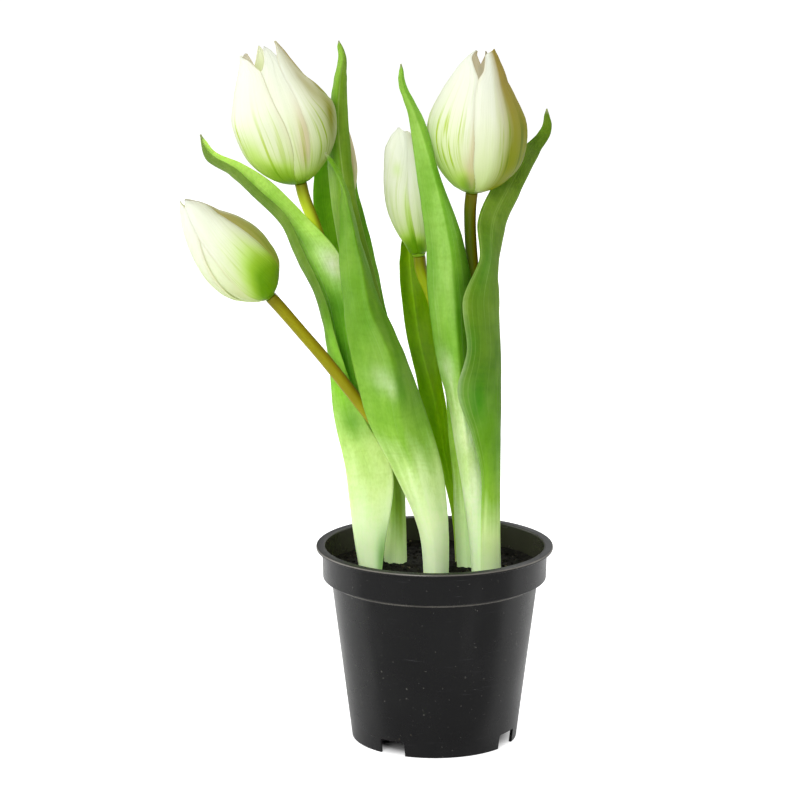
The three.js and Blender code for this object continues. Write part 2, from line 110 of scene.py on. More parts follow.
def sheet(middle, thickness, along=None):
    """Closed skin round a grid of points (rows, columns, xyz). Returns points, faces and uv."""
    rows, columns = middle.shape[:2]
    normal = unit(np.cross(np.gradient(middle, axis=0), np.gradient(middle, axis=1)))
    shift = normal * thickness[..., None] / 2
    points = np.concatenate([(middle + shift).reshape(-1, 3), (middle - shift).reshape(-1, 3)])
    grid = np.arange(rows * columns).reshape(rows, columns)
    a, b, c, d = grid[:-1, :-1], grid[:-1, 1:], grid[1:, 1:], grid[1:, :-1]
    front = np.stack([a, d, c, b], -1).reshape(-1, 4)
    back = np.stack([a, b, c, d], -1).reshape(-1, 4) + rows * columns
    rim = np.concatenate([grid[0, :], grid[1:, -1], grid[-1, -2::-1], grid[-2:0:-1, 0]])
    after = np.roll(rim, -1)
    walls = np.stack([rim, after, after + rows * columns, rim + rows * columns], -1)
    along = np.linspace(0, 1, rows) if along is None else along
    u, v = np.meshgrid(np.linspace(0, 1, columns), along)
    uv = np.tile(np.stack([u, v], -1).reshape(-1, 2), (2, 1))
    return points, np.concatenate([front, back, walls]), uv


# %% [markdown]
# ### Tubes
#
# Stems, fibres and stamens are tubes: a ring of points is carried along a path without twisting.
# A curve object with a bevel would do this too, but a plain mesh takes uv and extra numbers easily.

# %% A tube along a path
ACROSS = [0.3, 1, 0.1]  # any direction that no path starts in


def tube(path, radii, sides):
    """A capped round tube along a path of points."""
    along = unit(np.gradient(path, axis=0))
    side = np.zeros_like(path)
    side[0] = unit(np.cross(along[0], ACROSS))
    for i in range(1, len(path)):
        side[i] = unit(side[i - 1] - along[i] * np.dot(side[i - 1], along[i]))
    other = np.cross(along, side)
    turn = np.linspace(0, 2 * math.pi, sides, endpoint=False)[None, :, None]
    ring = side[:, None] * np.cos(turn) + other[:, None] * np.sin(turn)
    points = (path[:, None] + ring * radii[:, None, None]).reshape(-1, 3)
    grid = np.arange(len(path) * sides).reshape(-1, sides)
    after = np.roll(grid, -1, axis=1)
    faces = np.stack([grid[:-1], after[:-1], after[1:], grid[1:]], -1).reshape(-1, 4).tolist()
    faces += [grid[0, ::-1].tolist(), grid[-1].tolist()]
    u, v = np.meshgrid(np.arange(sides) / sides, np.linspace(0, 1, len(path)))
    return points, faces, np.stack([u, v], -1).reshape(-1, 2)


# %% [markdown]
# ### Turned shapes
#
# The pot, the soil, the bulbs and the pistils are turned, like work on a lathe: a profile goes round
# the upright axis. Its first and last points lie on the axis and close the ends.

# %% A turned shape
def turned(profile, sides):
    """A profile of [radius, height] pairs turned about +Z; an end on the axis closes in a fan."""
    profile = np.asarray(profile, float)
    turn = np.linspace(0, 2 * math.pi, sides, endpoint=False)
    rings = [np.stack([r * np.cos(turn), r * np.sin(turn), np.full(sides, z)], -1)
             for r, z in profile[1:-1]]
    points = np.concatenate([[[0, 0, profile[0, 1]]], *rings, [[0, 0, profile[-1, 1]]]])
    grid = 1 + np.arange(len(rings) * sides).reshape(-1, sides)
    after = np.roll(grid, -1, axis=1)
    faces = np.stack([grid[:-1], after[:-1], after[1:], grid[1:]], -1).reshape(-1, 4).tolist()
    faces += [[0, b, a] for a, b in zip(grid[0].tolist(), after[0].tolist())]
    last = len(points) - 1
    faces += [[last, a, b] for a, b in zip(grid[-1].tolist(), after[-1].tolist())]
    uv = np.zeros((len(points), 2))
    u, v = np.meshgrid(turn / 2 / math.pi, np.linspace(0, 1, len(rings)))
    uv[1:-1] = np.stack([u, v], -1).reshape(-1, 2)
    return points, faces, uv


# %% [markdown]
# ### From points to an object
#
# Every piece goes into the scene by one door. It joins the parts in one mesh, gives it uv, finish
# and extra numbers for the shader, and tells the frame which solid it replaces and what it rides.

# %% Put a piece in the scene
def add_piece(name, parts, finish, node=None, traits=None):
    """One object from several (points, faces, uv) parts; traits are extra numbers per point."""
    points, faces, uvs = [], [], []
    start = 0
    for part_points, part_faces, part_uv in parts:
        points.append(part_points)
        faces += [[start + v for v in face] for face in np.asarray(part_faces, object).tolist()]
        uvs.append(part_uv)
        start += len(part_points)
    mesh = bpy.data.meshes.new(name)
    mesh.from_pydata((np.concatenate(points) * MM).tolist(), [], faces)
    corners = np.empty(len(mesh.loops), int)
    mesh.loops.foreach_get("vertex_index", corners)
    mesh.uv_layers.new(name="UVMap").data.foreach_set("uv", np.concatenate(uvs)[corners].ravel())
    for trait, values in (traits or {}).items():
        mesh.attributes.new(trait, "FLOAT", "POINT").data.foreach_set("value", values)
    mesh.shade_smooth()
    mesh.materials.append(finish.material)
    piece = bpy.data.objects.new(name, mesh)
    bpy.context.scene.collection.objects.link(piece)
    if node:
        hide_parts(node)
    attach(piece, "root")
    print(name, "triangles:", sum(len(p.vertices) - 2 for p in mesh.polygons))
    return piece


# %% [markdown]
# ## Finishes
#
# A finish is one Principled shader whose colour, roughness and surface relief come from procedural
# nodes. Each kind of node gets a short call, so that a material reads like a recipe. Noise is laid
# either on `spots`, the place in space, or on `sheet`, which runs across and along a leaf or petal.
# A `trait` is one of the extra numbers that `add_piece` stored on the points.

# %% Sockets and nodes
def srgb(red, green, blue):
    """A screen colour, 0 to 255, as the linear colour that shaders use."""
    linear = [v / 255 / 12.92 if v <= 10 else ((v / 255 + 0.055) / 1.055) ** 2.4
              for v in (red, green, blue)]
    return (*linear, 1)


class Nodes:
    """One Principled material; each method adds a node and returns the socket it gives."""

    def __init__(self, name, **constants):
        self.material = bpy.data.materials.new(name)
        self.material.use_nodes = True
        self.tree = self.material.node_tree
        self.shader = self.tree.nodes["Principled BSDF"]
        for socket, value in constants.items():
            self.shader.inputs[socket.replace("_", " ")].default_value = value
        self.spots = self.tree.nodes.new("ShaderNodeTexCoord").outputs["Object"]
        self.sheet = self.tree.nodes.new("ShaderNodeUVMap").outputs["UV"]

    def feed(self, socket, value):
        if isinstance(value, bpy.types.NodeSocket):
            self.tree.links.new(value, socket)
        else:
            socket.default_value = value

    def node(self, kind, inputs, out=0, **settings):
        node = self.tree.nodes.new(kind)
        for name, value in settings.items():
            setattr(node, name, value)
        for socket, value in inputs.items():
            self.feed(node.inputs[socket], value)
        return node.outputs[out]

    def trait(self, name):
        return self.node("ShaderNodeAttribute", {}, "Fac", attribute_name=name)

    def split(self, vector):
        node = self.tree.nodes.new("ShaderNodeSeparateXYZ")
        self.feed(node.inputs[0], vector)
        return node.outputs

    def stretch(self, vector, x, y, z=1):
        return self.node("ShaderNodeMapping", {"Vector": vector, "Scale": (x, y, z)})


# %% [markdown]
# ### Noise and arithmetic
#
# Nearly every mark starts as a noise. Arithmetic then says how strong it is and where it fades;
# `spread` does most of that work, because it cuts a value to a range with soft ends.

# %% Noise and arithmetic
class Sums(Nodes):
    def noise(self, vector, scale, detail=3, seed=0.0, distortion=0.0):
        return self.node("ShaderNodeTexNoise",
                         {"Vector": vector, "W": seed, "Scale": scale, "Detail": detail,
                          "Distortion": distortion}, "Fac", noise_dimensions="4D")

    def sums(self, operation, a, b=0.0):
        return self.node("ShaderNodeMath", {0: a, 1: b}, operation=operation)

    def times(self, a, b):
        return self.sums("MULTIPLY", a, b)

    def plus(self, a, b):
        return self.sums("ADD", a, b)

    def minus(self, a, b):
        return self.sums("SUBTRACT", a, b)

    def spread(self, value, low, high, to_low=0.0, to_high=1.0):
        """Goes softly from to_low to to_high while value goes from low to high."""
        return self.node("ShaderNodeMapRange",
                         {"Value": value, "From Min": low, "From Max": high,
                          "To Min": to_low, "To Max": to_high}, interpolation_type="SMOOTHSTEP")

    def spread_mm(self, value, low, high, to_low=0.0, to_high=1.0):
        return self.spread(value, low * MM, high * MM, to_low, to_high)


# %% [markdown]
# ### Colour, relief and the finished skin
#
# A ramp turns a number into a colour, a mix lays one colour over another, and relief tilts the
# light on the face without moving it. `finish` plugs the results into the shader.

# %% Colour, relief and the finished skin
class Finish(Sums):
    def ramp(self, value, stops):
        node = self.tree.nodes.new("ShaderNodeValToRGB")
        self.feed(node.inputs[0], value)
        colours = node.color_ramp.elements
        while len(colours) < len(stops):
            colours.new(0.5)
        for element, (place, colour) in zip(colours, stops):
            element.position = place
            element.color = colour
        return node.outputs["Color"]

    def mix(self, amount, a, b, mode="MIX"):
        return self.node("ShaderNodeMix", {0: amount, 6: a, 7: b}, 2,
                         data_type="RGBA", blend_type=mode)

    def relief(self, height, depth):
        return self.node("ShaderNodeBump", {"Height": height, "Strength": 1, "Distance": depth * MM})

    def glow(self, colour, strength):
        self.feed(self.shader.inputs["Emission Color"], colour)
        self.feed(self.shader.inputs["Emission Strength"], strength)

    def finish(self, colour, roughness, relief=None):
        self.feed(self.shader.inputs["Base Color"], colour)
        self.feed(self.shader.inputs["Roughness"], roughness)
        if relief is not None:
            self.feed(self.shader.inputs["Normal"], relief)
        print("finish:", self.material.name)
        return self


# %% [markdown]
# ## The pot
#
# A nursery pot is one thin shell of injection-moulded plastic. The wall tapers down to a foot with
# four drain notches, and the rim is a deeper band with a lip rolled out at the top. All of it is
# round, so we turn one profile about the upright axis and cut the notches and drain holes with
# booleans. Small roundings in the profile catch the light the way a moulded edge does.

# %% Pot sizes
POT_HEIGHT = 100
POT_WALL = 1.6
FOOT_RADIUS = 41.9
SHOULDER_RADIUS, SHOULDER_HEIGHT = 52.5, 83.5
BAND_RADIUS = 57
LIP_RADIUS, LIP_THICKNESS = 60, 1.6
FLOOR_HEIGHT = 8
CUP_RADIUS = 18
LEDGE = SHOULDER_HEIGHT + POT_WALL
MOUTH_RADIUS = BAND_RADIUS - POT_WALL


def wall_radius(height):
    return FOOT_RADIUS + (SHOULDER_RADIUS - FOOT_RADIUS) * height / SHOULDER_HEIGHT


def rounded(corners, steps=3):
    """A profile whose corners, given as (radius, height, rounding), are cut to small arcs."""
    line = []
    for k, (radius, height, rounding) in enumerate(corners):
        here = np.array([radius, height], float)
        if rounding == 0:
            line.append(here)
            continue
        before = np.array(corners[k - 1][:2], float) - here
        beyond = np.array(corners[k + 1][:2], float) - here
        start = here + before / np.linalg.norm(before) * rounding
        end = here + beyond / np.linalg.norm(beyond) * rounding
        for t in np.linspace(0, 1, steps + 1):
            line.append(start * (1 - t) ** 2 + here * 2 * t * (1 - t) + end * t**2)
    return line


# %% [markdown]
# ### The profile
#
# The line runs from the middle of the underside out to the foot, up the outside to the lip and back
# down the inside. Each corner is a radius, a height and the size of its rounding.

# %% The pot's profile
BEAD_LOW, BEAD_OUT = 81.4, 0.6
pot_profile = rounded([
    (0, 0, 0),
    (CUP_RADIUS, 0, 0.6),
    (CUP_RADIUS, FLOOR_HEIGHT, 0.6),
    (wall_radius(FLOOR_HEIGHT) - POT_WALL, FLOOR_HEIGHT, 0.6),
    (FOOT_RADIUS - POT_WALL, 0, 0.3),
    (FOOT_RADIUS, 0, 0.4),
    (wall_radius(20), 20, 0.1),
    (wall_radius(40), 40, 0.1),
    (wall_radius(60), 60, 0.1),
    (wall_radius(BEAD_LOW), BEAD_LOW, 0.2),
    (wall_radius(BEAD_LOW) + BEAD_OUT, BEAD_LOW + 0.3, 0.2),
    (wall_radius(SHOULDER_HEIGHT) + BEAD_OUT, SHOULDER_HEIGHT, 0.2),
    (BAND_RADIUS - 0.4, SHOULDER_HEIGHT, 0.6),
    (BAND_RADIUS, POT_HEIGHT - LIP_THICKNESS, 0.5),
    (LIP_RADIUS, POT_HEIGHT - LIP_THICKNESS, 0.5),
    (LIP_RADIUS, POT_HEIGHT, 0.7),
    (MOUTH_RADIUS, POT_HEIGHT, 0.8),
    (MOUTH_RADIUS, LEDGE, 0.5),
    (wall_radius(LEDGE) - POT_WALL, LEDGE, 0.5),
    (wall_radius(FLOOR_HEIGHT + POT_WALL) - POT_WALL, FLOOR_HEIGHT + POT_WALL, 0.5),
    (CUP_RADIUS - POT_WALL, FLOOR_HEIGHT + POT_WALL, 0.4),
    (CUP_RADIUS - POT_WALL, POT_WALL, 0.4),
    (0, POT_WALL, 0),
])
print("pot profile points:", len(pot_profile))

# %% [markdown]
# ### Black moulded plastic
#
# The plastic is a satin black. Handling leaves dust specks, crumbs of peat and faint scuffs that
# run round the wall, and potting leaves a dull film, so the roughness changes softly from place to
# place. Each mark is a noise of its own size, cut to its brightest tops and mixed in thinly.

# %% Pot plastic
plastic = Finish("black_pot_plastic", Specular_IOR_Level=0.4)
film = plastic.noise(plastic.spots, 38, 4)
upright = plastic.noise(plastic.stretch(plastic.spots, 50, 50, 16), 1, 5, seed=6.0)
round_the_wall = plastic.noise(plastic.stretch(plastic.spots, 60, 60, 900), 1, 3)
body_colour = plastic.ramp(film, [(0.3, srgb(12, 12, 13)), (0.7, srgb(18, 18, 19))])
# each mark: the noise it comes from, where its tops start and end, how much, and its colour
for mark, low, high, amount, tone in [
        (upright, 0.5, 0.8, 0.35, srgb(46, 46, 46)),
        (round_the_wall, 0.62, 0.8, 0.3, srgb(80, 80, 84)),
        (plastic.noise(plastic.spots, 620, 2), 0.68, 0.76, 0.5, srgb(120, 118, 112)),
        (plastic.noise(plastic.spots, 210, 2, seed=3.0), 0.725, 0.79, 0.4, srgb(94, 84, 70))]:
    tops = plastic.spread(mark, low, high)
    body_colour = plastic.mix(plastic.times(tops, amount), body_colour, tone)

# %% [markdown]
# ### Edge lines and the inside of the rim
#
# A thin grey line along the lip's outer edge is a painted highlight, and a second thin grey line
# runs along the bead under the band. The inside of the rim is lighter and a little greenish.
# Radius and height above the ground say where each lies, which is simple for a turned shape and
# needs no image texture.

# %% Lip highlight, bead line and the inside of the rim
pot_x, pot_y, pot_z = plastic.split(plastic.spots)
pot_radius = plastic.sums("SQRT", plastic.plus(plastic.times(pot_x, pot_x),
                                               plastic.times(pot_y, pot_y)))
# the inside of the rim is made lighter and a little greenish
inside = plastic.times(plastic.spread_mm(pot_radius, MOUTH_RADIUS + 0.2, MOUTH_RADIUS + 0.8, 1, 0),
                       plastic.spread_mm(pot_z, LEDGE - 0.1, LEDGE + 1.9))
body_colour = plastic.mix(plastic.times(inside, 0.8), body_colour, srgb(63, 63, 51))
bead = plastic.times(plastic.spread_mm(pot_z, BEAD_LOW - 0.3, BEAD_LOW + 0.1),
                     plastic.spread_mm(pot_z, BEAD_LOW + 0.6, BEAD_LOW + 1.1, 1, 0))
lip = plastic.times(plastic.spread_mm(pot_radius, LIP_RADIUS - 0.5, LIP_RADIUS - 0.2),
                    plastic.spread_mm(pot_z, POT_HEIGHT - 0.9, POT_HEIGHT - 0.5))
# painted highlight: a thin grey line on the lip's outer edge; a thin grey line runs along the bead
# too
lip_highlight_and_bead_line = plastic.times(plastic.plus(plastic.times(bead, 0.55), plastic.times(lip, 0.7)),
                     plastic.spread(film, 0.3, 0.65, 0.55, 1))
body_colour = plastic.mix(lip_highlight_and_bead_line, body_colour, srgb(140, 136, 128))
grain = plastic.plus(plastic.noise(plastic.spots, 1400, 2),
                     plastic.times(plastic.noise(plastic.spots, 70, 2), 3))
dull = plastic.plus(plastic.spread(film, 0.3, 0.7, 0.22, 0.32),
                    plastic.spread_mm(pot_z, POT_HEIGHT - 0.5, POT_HEIGHT - 0.1, 0, 0.3))
plastic.finish(body_colour, dull, plastic.relief(grain, 0.025))

# %% [markdown]
# ### Cutting the openings
#
# The moulder's tool leaves four notches in the foot and four round holes in the floor. A notch is
# cut by a block with rounded edges and a hole by a rod, both a little longer than they need to be.

# %% Cutters for the openings
POT_SIDES = 192
NOTCH_COUNT, NOTCH_FIRST_TURN = 4, -120
NOTCH_WIDTH, NOTCH_HEIGHT, NOTCH_CUT, NOTCH_ROUNDING = 14, 7.5, 8, 1.2
DRAIN_COUNT, DRAIN_RADIUS, DRAIN_CIRCLE, DRILL_LENGTH = 4, 3.5, 29, 6
SHARP_ANGLE = 38


def cutter_block(turn):
    """A block with rounded long edges that cuts one notch in the foot."""
    block = bmesh.new()
    bmesh.ops.create_cube(block, size=MM)
    bmesh.ops.scale(block, vec=(NOTCH_CUT, NOTCH_WIDTH, 2 * NOTCH_HEIGHT), verts=block.verts)
    edges = [e for e in block.edges if abs((e.verts[0].co - e.verts[1].co).x) > MM]
    bmesh.ops.bevel(block, geom=edges, offset=NOTCH_ROUNDING * MM, segments=4, affect="EDGES",
                    profile=0.5)
    bmesh.ops.translate(block, vec=(FOOT_RADIUS * MM, 0, 0), verts=block.verts)
    bmesh.ops.rotate(block, cent=(0, 0, 0), verts=block.verts,
                     matrix=Matrix.Rotation(math.radians(turn), 3, "Z"))
    return block


def cutter_drill(turn):
    """A rod that drills one drain hole through the floor."""
    drill = bmesh.new()
    bmesh.ops.create_cone(drill, cap_ends=True, segments=32, radius1=DRAIN_RADIUS * MM,
                          radius2=DRAIN_RADIUS * MM, depth=DRILL_LENGTH * MM)
    place = (DRAIN_CIRCLE * math.cos(turn) * MM, DRAIN_CIRCLE * math.sin(turn) * MM,
             (FLOOR_HEIGHT + POT_WALL / 2) * MM)
    bmesh.ops.translate(drill, vec=place, verts=drill.verts)
    return drill


# %% [markdown]
# ### One boolean for all
#
# We gather all cutters in one mesh and take them off with a single boolean, then keep the result as
# a plain mesh. Faces that meet at a sharp angle are marked sharp, so that the cuts look crisp.

# %% Turn the pot and cut it
pot = add_piece("nursery_pot", [turned(pot_profile, POT_SIDES)], plastic, "pot")
cutters = [cutter_block(NOTCH_FIRST_TURN + 360 * i / NOTCH_COUNT) for i in range(NOTCH_COUNT)]
cutters += [cutter_drill(2 * math.pi * (i + 0.5) / DRAIN_COUNT) for i in range(DRAIN_COUNT)]
tools = bpy.data.meshes.new("pot_cutters")
gathered = bmesh.new()
for cutter in cutters:
    scrap = bpy.data.meshes.new("scrap")
    cutter.to_mesh(scrap)
    gathered.from_mesh(scrap)
    cutter.free()
    bpy.data.meshes.remove(scrap)
gathered.to_mesh(tools)
gathered.free()
tool = bpy.data.objects.new("pot_cutters", tools)
bpy.context.scene.collection.objects.link(tool)
cut = pot.modifiers.new("openings", "BOOLEAN")
cut.operation, cut.object, cut.solver = "DIFFERENCE", tool, "EXACT"
bpy.context.view_layer.update()
depsgraph = bpy.context.evaluated_depsgraph_get()
finished = bpy.data.meshes.new_from_object(pot.evaluated_get(depsgraph))
pot.modifiers.clear()
pot.data = finished
bpy.data.objects.remove(tool)
finished.set_sharp_from_angle(angle=math.radians(SHARP_ANGLE))
print("pot after cutting:", len(finished.polygons), "faces")

# %% [markdown]
# ## The soil
#
# The pot is filled with dark peat up to a finger's width under the lip. Its top is a fine grid
# pushed up and down by soft noise at three sizes, and it heaps up a little against every shoot.
# On top lie loose crumbs and a few fibres, each a small lump of its own.

# %% Where the shoots stand
GAP = 0.3
SOIL_HEIGHT = 87
# each shoot's place and how far its foot reaches, in mm
SHOOT_SPOTS = [(-31.5, -4.5, 9.8), (-1, -20, 10.6), (16.3, 8, 8.8), (27.5, -11.5, 12),
               (-20, 13.5, 9.6)]
CLODS = [(14, 1.0), (5, 0.8), (2.1, 0.55), (1.0, 0.3)]  # how wide and how high, in mm
FLATTENED, HEAPED = 0.75, 1.1  # at each shoot: share of the clods taken away, and mm heaped up
EDGE_FROM, EDGE_WIDE, EDGE_RISE, SETTLED = 50, 5, 0.8, 0.3


def soil_top(x, y):
    height = sum(high * bumps(x, y, wide, 1 + k) for k, (wide, high) in enumerate(CLODS))
    aways = [np.hypot(x - cx, y - cy) / reach for cx, cy, reach in SHOOT_SPOTS]
    for away in aways:
        height = height * (1 - FLATTENED * np.exp(-((away / 0.9) ** 4)))
    for away in aways:
        height = height + HEAPED * np.exp(-((away - 0.75) / 0.5) ** 2)
    edge = np.clip((np.hypot(x, y) - EDGE_FROM) / EDGE_WIDE, 0, 1)
    return SOIL_HEIGHT - SETTLED + height * (1 - 0.5 * edge) + EDGE_RISE * edge


print("soil height at the middle, mm:", round(float(soil_top(0, 0)), 2))


# %% [markdown]
# ### The body of the soil
#
# The soil is turned like the pot, a hair smaller than the pot's inside so that the two never share
# a face. Only the points of its top take part in the bumps.

# %% Soil body
SOIL_SIDES, SOIL_RINGS = 220, 84


def soil_body():
    edge_radius = MOUTH_RADIUS - GAP
    under = [
        (edge_radius, LEDGE + GAP),
        (wall_radius(LEDGE) - POT_WALL - GAP, LEDGE + GAP),
        (wall_radius(FLOOR_HEIGHT + POT_WALL) - POT_WALL - GAP, FLOOR_HEIGHT + POT_WALL + GAP),
        (CUP_RADIUS - POT_WALL - GAP, FLOOR_HEIGHT + POT_WALL + GAP),
        (CUP_RADIUS - POT_WALL - GAP, POT_WALL + GAP),
    ]
    rings = [(r, 0) for r in np.linspace(edge_radius, 0.6, SOIL_RINGS)]
    profile = [(0, POT_WALL + GAP), *under[::-1], *rings, (0, SOIL_HEIGHT)]
    points, faces, uv = turned(profile, SOIL_SIDES)
    top = np.ones(len(points), bool)
    top[: 1 + len(under) * SOIL_SIDES] = False
    points[top, 2] = soil_top(points[top, 0], points[top, 1])
    return points, faces, uv


# %% [markdown]
# ### Moist peat
#
# Peat is nearly black when moist, with browner crumbs where it has dried. It has no shine, so the
# roughness is close to one and all its life comes from the relief.

# %% Peat
peat = Finish("moist_peat", Specular_IOR_Level=0.2)
clods = peat.noise(peat.spots, 420, 5)
dry = peat.spread(peat.noise(peat.spots, 1500, 3, seed=2.0), 0.55, 0.75)
peat_colour = peat.ramp(clods, [(0.3, srgb(9, 9, 7)), (0.55, srgb(22, 20, 15)),
                                (0.8, srgb(44, 40, 30))])
peat_colour = peat.mix(peat.times(dry, 0.35), peat_colour, srgb(78, 72, 56))
peat.finish(peat_colour, 0.95, peat.relief(peat.noise(peat.spots, 900, 5), 0.5))
soil = add_piece("potting_soil", [soil_body()], peat, "soil")

# %% [markdown]
# ### Crumbs and fibres
#
# The loose bits on top are separate lumps. A crumb is a ball pushed out of round by bumps, and a
# fibre is a thin bent tube. One seeded dice throws all their places, so every run is the same.

# %% Where a crumb may lie
CRUMB_COUNT, FIBRE_COUNT = 900, 60
CRUMB_FIELD = 52
crumb_dice = np.random.default_rng(7)


def spot_on_soil(clear):
    """A random spot on the soil that keeps clear of every shoot."""
    while True:
        x, y = crumb_dice.uniform(-CRUMB_FIELD, CRUMB_FIELD, 2)
        beside = all(math.hypot(x - cx, y - cy) > reach * 0.9 + clear
                     for cx, cy, reach in SHOOT_SPOTS)
        if math.hypot(x, y) < CRUMB_FIELD + 0.5 and beside:
            return x, y


# %% Crumbs and fibres
ball = bmesh.new()
bmesh.ops.create_icosphere(ball, subdivisions=2, radius=1)
ball_points = np.array([v.co for v in ball.verts])
ball_faces = [[v.index for v in f.verts] for f in ball.faces]
ball.free()
FIBRE_STEPS, FIBRE_RADIUS = 9, 0.11
lumps = []
for k in range(CRUMB_COUNT):
    size = 0.25 + 0.9 * crumb_dice.random() ** 4
    x, y = spot_on_soil(size)
    stretch = crumb_dice.uniform(0.6, 1.2, 3)
    bx, by, bz = ball_points.T
    rough = 1 + 0.3 * bumps(bx * 9 + k, by * 9 + 3 * bz, 6, k)
    lump = ball_points * rough[:, None] * stretch * size
    place = [x, y, float(soil_top(x, y)) + 0.2 * size]
    lumps.append((lump + place, ball_faces, np.zeros((len(lump), 2))))
for k in range(FIBRE_COUNT):
    x, y = spot_on_soil(2.5)
    heading, long = crumb_dice.uniform(0, 2 * math.pi), crumb_dice.uniform(2, 6)
    t = np.linspace(-0.5, 0.5, FIBRE_STEPS)
    bend = crumb_dice.uniform(-1.5, 1.5) * t**2
    fx = x + long * (t * math.cos(heading) - bend * math.sin(heading))
    fy = y + long * (t * math.sin(heading) + bend * math.cos(heading))
    thread = np.stack([fx, fy, soil_top(fx, fy) + 0.25], -1)
    lumps.append(tube(thread, np.full(FIBRE_STEPS, FIBRE_RADIUS), 6))
tones = np.concatenate([np.full(len(lump[0]), crumb_dice.random()) for lump in lumps])
print("crumbs and fibres:", len(lumps))

# %% [markdown]
# ### Dry crumbs
#
# On the surface the peat dries to a lighter brown, some crumbs more than others. Each crumb stores
# one number, its tone, and the shader reads it.

# %% Crumb finish
crumbly = Finish("dry_peat_crumbs", Specular_IOR_Level=0.2)
speckle = crumbly.noise(crumbly.spots, 1500, 3)
crumb_tone = crumbly.plus(crumbly.trait("tone"), crumbly.times(speckle, 0.2))
crumb_colour = crumbly.ramp(crumb_tone, [(0.1, srgb(10, 9, 7)), (0.7, srgb(26, 23, 17)),
                                         (0.92, srgb(50, 45, 34)), (1.0, srgb(92, 84, 66))])
crumbly.finish(crumb_colour, 0.95, crumbly.relief(speckle, 0.3))
add_piece("peat_crumbs", lumps, crumbly, None, {"tone": tones.astype(np.float32)})

# %% [markdown]
# ## Stems
#
# A tulip's stem is a plain round rod that leans and bends towards its flower. We run a tube along
# the guide points, from the bulb up to the seat of the bloom.

# %% The five shoots
# bulb: where it stands; path: the stem from the soil up; base and tip: the seat and the point of
# the flower; open: 0 shut to 1 half open; shade: how far round its painted olive shade begins, as
# a cosine.
FLOWERS = [
    {
        "name": "top_left", "bulb": (-27, -5),
        "path": [(-30, -2, 80), (-32, 0, 107), (-35, 4, 138), (-39, 8, 173), (-45, 9, 204),
                 (-51, 10, 230), (-58, 9, 256)],
        "base": (-67, 5, 284), "tip": (-85, 0, 355), "radius": 25, "open": 1, "shade": 0.5,
    },
    {
        "name": "low_left", "bulb": (-4, -27),
        "path": [(0, -13, 80), (-2, -14, 111), (-8, -15, 132), (-17, -16, 150), (-34, -19, 173),
                 (-53, -21, 198), (-66, -23, 214)],
        "base": (-81, -25, 232), "tip": (-123, -30, 281), "radius": 18, "open": 0, "shade": 0.4,
    },
    {
        "name": "centre", "bulb": (19, 20),
        "path": [(16, 8, 80), (15, 9, 110), (13, 10, 147), (9.5, 11, 172), (5, 11, 198),
                 (-1, 12, 223)],
        "base": (-8, 12, 246), "tip": (-18, 12, 311), "radius": 12.4, "open": 0, "shade": 0.4,
    },
    {
        "name": "top_right", "bulb": (25, -12),
        "path": [(27, -3, 80), (27, -3, 113), (26, -3, 145), (24, -3, 175), (21, -3, 206),
                 (19, -1, 237), (17.5, 0, 258)],
        "base": (18, 0, 280), "tip": (24, -3, 352), "radius": 24, "open": 0.15, "shade": 0.3,
    },
    {
        "name": "back_left", "bulb": (-13, 24),
        "path": [(-20, 13.5, 80), (-20, 14, 109), (-22, 16, 140), (-27, 19, 171), (-33, 22, 201),
                 (-38, 25, 232)],
        "base": (-45, 28, 269), "tip": (-49, 28, 316), "radius": 7, "open": 0, "shade": 0.4,
    },
]

# %% [markdown]
# ### Stem skin
#
# The skin is an olive green to ochre, with fine threads along its length. Each stem has its own
# tone, and its right side, away from the main light, is painted a darker brown: painted shade.
# Close to the soil it goes pale, where the leaves kept the light off.

# %% Stem skin
stem_skin = Finish("stem_skin", Specular_IOR_Level=0.2, Subsurface_Weight=0.1, Subsurface_Scale=1)
stem_skin.shader.inputs["Subsurface Radius"].default_value = (0.0015, 0.001, 0.0004)
threads = stem_skin.noise(stem_skin.stretch(stem_skin.sheet, 40, 3), 1, 3)
patches = stem_skin.noise(stem_skin.stretch(stem_skin.spots, 70, 70, 18), 1, 3, seed=5.0)
age = stem_skin.plus(stem_skin.trait("age"),
                     stem_skin.times(stem_skin.minus(patches, 0.5), 0.5))
stem_colour = stem_skin.ramp(age, [(0.0, srgb(202, 222, 48)), (0.25, srgb(154, 174, 4)),
                                   (0.5, srgb(154, 148, 0)), (0.75, srgb(110, 100, 0)),
                                   (1.0, srgb(50, 84, 0))])
_, stem_along, _ = stem_skin.split(stem_skin.sheet)
# painted shade: the right side of each stem, away from the main light, turns brown
right_side_shade = stem_skin.times(stem_skin.spread(stem_skin.trait("side"), 0.1, 0.9), 0.75)
stem_colour = stem_skin.mix(right_side_shade, stem_colour, srgb(120, 86, 6))
near_seat = stem_skin.spread(stem_along, 0.86, 0.99, 0, 0.65)
stem_colour = stem_skin.mix(near_seat, stem_colour, srgb(96, 84, 0))
stem_colour = stem_skin.mix(stem_skin.times(threads, 0.2), stem_colour, srgb(170, 178, 20))
low_down = stem_skin.spread_mm(stem_skin.split(stem_skin.spots)[2], 90, 130, 1, 0)
stem_colour = stem_skin.mix(low_down, stem_colour, srgb(204, 228, 150))
stem_skin.finish(stem_colour, 0.38, stem_skin.relief(threads, 0.12))

# %% [markdown]
# ### Running the stems
#
# Each stem starts just above the nose of its bulb, follows its guide points and comes straight into
# the seat of the bloom along the flower's own axis. It stores its tone and, for every point, how far
# that point faces to the right, the side that gets the painted shade.

# %% Run the stems
STEM_RADIUS, STEM_SIDES, STEM_STEPS, NECK = 3, 28, 90, 9
